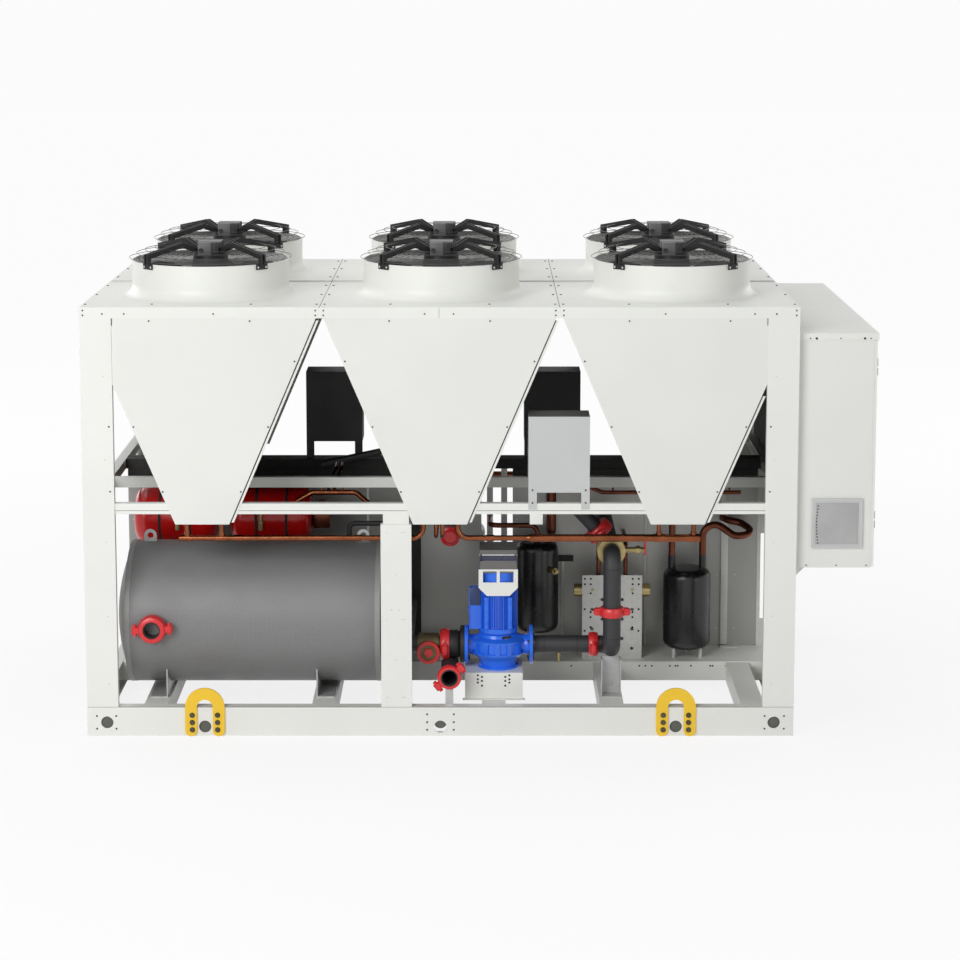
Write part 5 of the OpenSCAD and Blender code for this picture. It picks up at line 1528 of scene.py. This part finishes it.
@dataclass
class RearWork:
    """Pipes, terminal boxes and fittings of the compressor side, finished like the front."""

    kit: Kit
    compressors: tuple[float, ...] = (-1.485, -0.735, -0.095, 1.015)
    depth: float = 0.60
    shell: float = 0.105
    foot: float = 0.185
    crown: float = 0.744
    back: float = 0.115

    def build(self) -> None:
        """Adds every detail behind the partition."""
        self.boxes()
        self.pipes()
        self.header()
        self.heat_exchanger()
        self.cabinet_back()

    def boxes(self) -> None:
        """Terminal boxes, weld bands and holding bolts of the compressors."""
        covers = Shape("terminal_boxes", Finishes.BOX)
        bands = Shape("compressor_bands", Finishes.VESSEL)
        bolts: list[Spot] = []
        front = self.depth + self.shell
        section = band(self.shell - 0.01, self.shell + 0.004, 0.010, 0.002)
        for x in self.compressors:
            covers.box((x - 0.058, front - 0.02, 0.47), (x + 0.058, front + 0.058, 0.60), 0.006)
            covers.box((x - 0.062, front + 0.050, 0.466), (x + 0.062, front + 0.064, 0.604), 0.004)
            for z in (0.29, 0.66):
                bands.lathe(section, (x, self.depth, z), Z, 48)
            bolts += [Spot((x + dx, self.depth + dy, self.foot), UP) for dx in (-0.105, 0.105)
                      for dy in (-0.105, 0.105)]
        covers.done()
        bands.done()
        self.kit.screws("compressor_bolts", bolts, 0.011, 0.016, Finishes.BOLT, 6, 0.02)

    def pipes(self) -> None:
        """Suction and discharge pipes of each compressor."""
        gas = Shape("discharge_pipes", Finishes.COPPER)
        suction = Shape("suction_pipes", Finishes.FOAM)
        for x in self.compressors:
            out, y, top = x + 0.045, self.depth - 0.02, 0.90
            gas.tube(((out, y, self.crown - 0.03), (out, y, top), (out, 0.30, top), (out, 0.30, 1.06),
                      (out, self.back, 1.06)), 0.013, 0.05)
            gas.rod((out, y, self.crown - 0.02), (out, y, self.crown + 0.04), 0.018)
            out, y, top = x - 0.17, self.depth - 0.03, 0.80
            suction.tube(((x - 0.09, y, 0.62), (out, y, 0.62), (out, y, top), (out, self.back, top)),
                         0.021, 0.05)
        gas.done()
        suction.done()

    def header(self) -> None:
        """Rear copper header with its risers to the coils' feet, as at the front."""
        y, z, top = 1.0, 0.94, COIL_FOOT
        pipes = Shape("rear_header", Finishes.COPPER)
        pipes.tube(((-1.60, y, z), (1.16, y, z)), 0.015)
        for column in COLUMNS:
            for x in (column - 0.087, column + 0.087):
                pipes.rod((x, y, z), (x, y, top), 0.011)
                pipes.rod((x - 0.026, y, z), (x + 0.026, y, z), 0.018)
        for x in (-1.0, 0.45):
            pipes.tube(((x, y, z), (x, y - 0.12, z), (x, y - 0.12, 0.88), (x, self.back, 0.88)), 0.014, 0.05)
        pipes.done()
        straps = Shape("rear_header_clips", Finishes.PLATE)
        for x in (-1.15, -0.46, 0.30, 0.75):
            straps.lathe(band(0.0145, 0.0172, 0.012), (x, y, z), X, 24)
            straps.bar((x, y + 0.012, z + 0.004), (x, 1.0525, 0.985), 0.022, 0.004, Z)
        straps.done()

    def heat_exchanger(self) -> None:
        """End plate, tie rods and water pipes of the plate evaporator."""
        low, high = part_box("evaporator")
        plate = Shape("evaporator_plates", Finishes.VESSEL)
        plate.box((low.x - 0.012, high.y - 0.004, low.z + 0.02),
                  (high.x + 0.012, high.y + 0.012, high.z - 0.01), 0.006).done()
        spots = [Spot((x, high.y + 0.012, z), REAR) for x in (low.x + 0.012, high.x - 0.012)
                 for z in (0.22, 0.40, 0.58, 0.76, 0.94)]
        self.kit.screws("evaporator_nuts", spots, 0.012, 0.014, Finishes.BOLT, 6, 0.018)
        ports = Shape("evaporator_ports", Finishes.FOAM)
        middle, out = (low.x + high.x) / 2, high.y + 0.10
        for x in (middle - 0.055, middle + 0.055):
            ports.tube(((x, high.y, 0.86), (x, out, 0.86), (x, out, 1.04), (x, self.back, 1.04)),
                       0.030, 0.06, 18)
        ports.done()
        straps = Shape("evaporator_straps", Finishes.PLATE)
        for z in (0.36, 0.72):
            straps.box((low.x - 0.0135, low.y - 0.02, z), (high.x + 0.0135, high.y + 0.0135, z + 0.03), 0.001)
        straps.done()

    def cabinet_back(self) -> None:
        """Screws on the cabinet's far side, the joint between its doors and the handles' locks."""
        rows = ((1.05, 0.871), (1.058, 2.025))
        spots = [Spot((x, y, z), REAR) for y, z in rows for x in CABINET_SCREWS]
        self.kit.screws("cabinet_rear_screws", spots, 0.004, 0.0015, Finishes.SCREW)
        joint = Shape("door_joint", Finishes.SHADOW)
        joint.box((1.9655, -0.0028, 0.863), (1.975, 0.0028, 2.013)).done()
        locks = Shape("handle_locks", Finishes.SCREW)
        for y in (-0.065, 0.065):
            locks.rod((1.9848, y, 1.62), (1.9868, y, 1.62), 0.008)
        locks.done()


@dataclass
class CoilWork:
    """Tube ends of the coils, seen past the V panels."""

    kit: Kit
    head: float = 2.151
    spread: tuple[float, float] = (0.155, 0.545)
    rows: int = 22

    def build(self) -> None:
        """Adds a column of tube bends at both ends of every coil."""
        spots: list[Spot] = []
        for column in COLUMNS:
            for side in (-1, 1):
                for step in range(self.rows):
                    share = (step + 0.5) / self.rows
                    x = column + side * (self.spread[0] + (self.spread[1] - self.spread[0]) * share)
                    z = COIL_FOOT + 0.03 + (self.head - COIL_FOOT - 0.06) * share
                    spots += [Spot((x, way * 1.056, z), (0, way, 0)) for way in (-1, 1)]
        self.kit.screws("coil_tube_ends", spots, 0.0085, 0.008, Finishes.OLD_COPPER, 10)


@dataclass
class Studio:
    """Camera, lamps and a plain pale floor."""

    eye: Point = (0.0, -13.653, 3.796)
    pitch: float = math.radians(7.95)
    lens: float = 96.0
    shift: float = -0.15
    floor_size: float = 60.0
    floor_grey: float = 0.86
    floor_white: float = 0.96
    floor_near: float = 0.84
    shadow_reach: tuple[float, float] = (2.0, 7.0)
    sky: float = 0.28
    backdrop: float = 0.97

    def build(self) -> None:
        """Makes the whole studio."""
        self.camera()
        self.floor()
        self.world()
        self.lamp("key", (-5.5, -10.5, 5.6), 6.0, 790.0)
        self.lamp("fill", (7.5, -9.0, 3.5), 6.0, 150.0)
        self.lamp("back_left", (-8.5, 8.0, 4.5), 6.0, 300.0)
        self.lamp("back_right", (8.5, 8.0, 4.5), 6.0, 300.0)
        self.lamp("top", (-1.2, 1.0, 8.5), 6.0, 170.0)
        bpy.context.scene.view_settings.view_transform = "Standard"

    def camera(self) -> None:
        """The camera at the photograph's viewing angle."""
        data = bpy.data.cameras.new("camera")
        data.lens, data.sensor_width, data.shift_y = self.lens, 36.0, self.shift
        data.clip_end = 200.0
        made = bpy.data.objects.new("camera", data)
        made.location = self.eye
        made.rotation_euler = (math.pi / 2 - self.pitch, 0.0, 0.0)
        bpy.context.scene.collection.objects.link(made)
        bpy.context.scene.camera = made

    def floor(self) -> None:
        """A pale floor that looks white from the camera but keeps the shadow."""
        half = self.floor_size
        mesh = bpy.data.meshes.new("floor")
        corners = [(-half, -half, 0.0), (half, -half, 0.0), (half, half, 0.0), (-half, half, 0.0)]
        mesh.from_pydata(corners, [], [(0, 1, 2, 3)])
        made = bpy.data.objects.new("floor", mesh)
        bpy.context.scene.collection.objects.link(made)
        tree = Shader("floor_white")
        tree.feed("Base Color", (self.floor_grey,) * 3 + (1.0,))
        tree.feed("Roughness", 0.9)
        away = tree.node("ShaderNodeVectorMath", {0: tree.coords}, operation="LENGTH").outputs["Value"]
        level = tree.ramp(away, *self.shadow_reach, self.floor_near, self.floor_white)
        share = tree.maths("MULTIPLY", tree.seen(), level)
        white = tree.node("ShaderNodeEmission", {"Color": (1.0, 1.0, 1.0, 1.0), "Strength": 1.0})
        blend = tree.node("ShaderNodeMixShader", {0: share, 1: tree.bsdf.outputs[0], 2: white.outputs[0]})
        tree.put(tree.tree.nodes["Material Output"].inputs["Surface"], blend.outputs[0])
        mesh.materials.append(tree.material)

    def world(self) -> None:
        """Even white light, and the floor's white where the background is seen."""
        world = bpy.data.worlds.new("white_studio")
        bpy.context.scene.world = world
        world.use_nodes = True
        tree = Nodes(world.node_tree)
        back = tree.tree.nodes["Background"].inputs
        tree.put(back["Color"], (1.0, 1.0, 1.0, 1.0))
        tree.put(back["Strength"], tree.ramp(tree.seen(), 0.0, 1.0, self.sky, self.backdrop))

    def lamp(self, name: str, place: Point, size: float, power: float) -> None:
        """A soft square lamp aimed at the unit's middle.

        Args:
            name: The lamp's name.
            place: Where it hangs.
            size: Side of its square.
            power: Its power in watts.
        """
        data = bpy.data.lights.new(name, "AREA")
        data.size, data.energy = size, power
        made = bpy.data.objects.new(name, data)
        made.location = place
        middle = (CAD_BOX[0] + CAD_BOX[1]) / 2
        made.rotation_euler = (middle - Vector(place)).to_track_quat("-Z", "Y").to_euler()
        bpy.context.scene.collection.objects.link(made)


def dress_frame() -> None:
    """Gives every CAD node its finish."""
    for name, node in frame["nodes"].items():
        if name.startswith("fan_rotor"):
            finish = Finishes.BLADE
        else:
            finish = NODE_FINISHES.get(name, Finishes.WHITE)
        node.data.materials.clear()
        node.data.materials.append(finish.material())
        LOG.info("node %s: %s", name, finish.name)


def main() -> None:
    """Builds the studio, then every sub-assembly in order."""
    logging.basicConfig(level=logging.INFO, format="%(name)s: %(message)s")
    Studio().build()
    dress_frame()
    kit = Kit()
    for assembly in (FrameWork(kit), FanTops(kit), TankWork(), PumpWork(kit), PipeWork(kit), CouplingWork(),
                     CopperWork(), DriveWork(kit), PartitionWork(kit), CabinetWork(kit), RearWork(kit),
                     CoilWork(kit)):
        LOG.info("assembly %s", type(assembly).__name__)
        assembly.build()


if __name__ == "__main__":
    main()
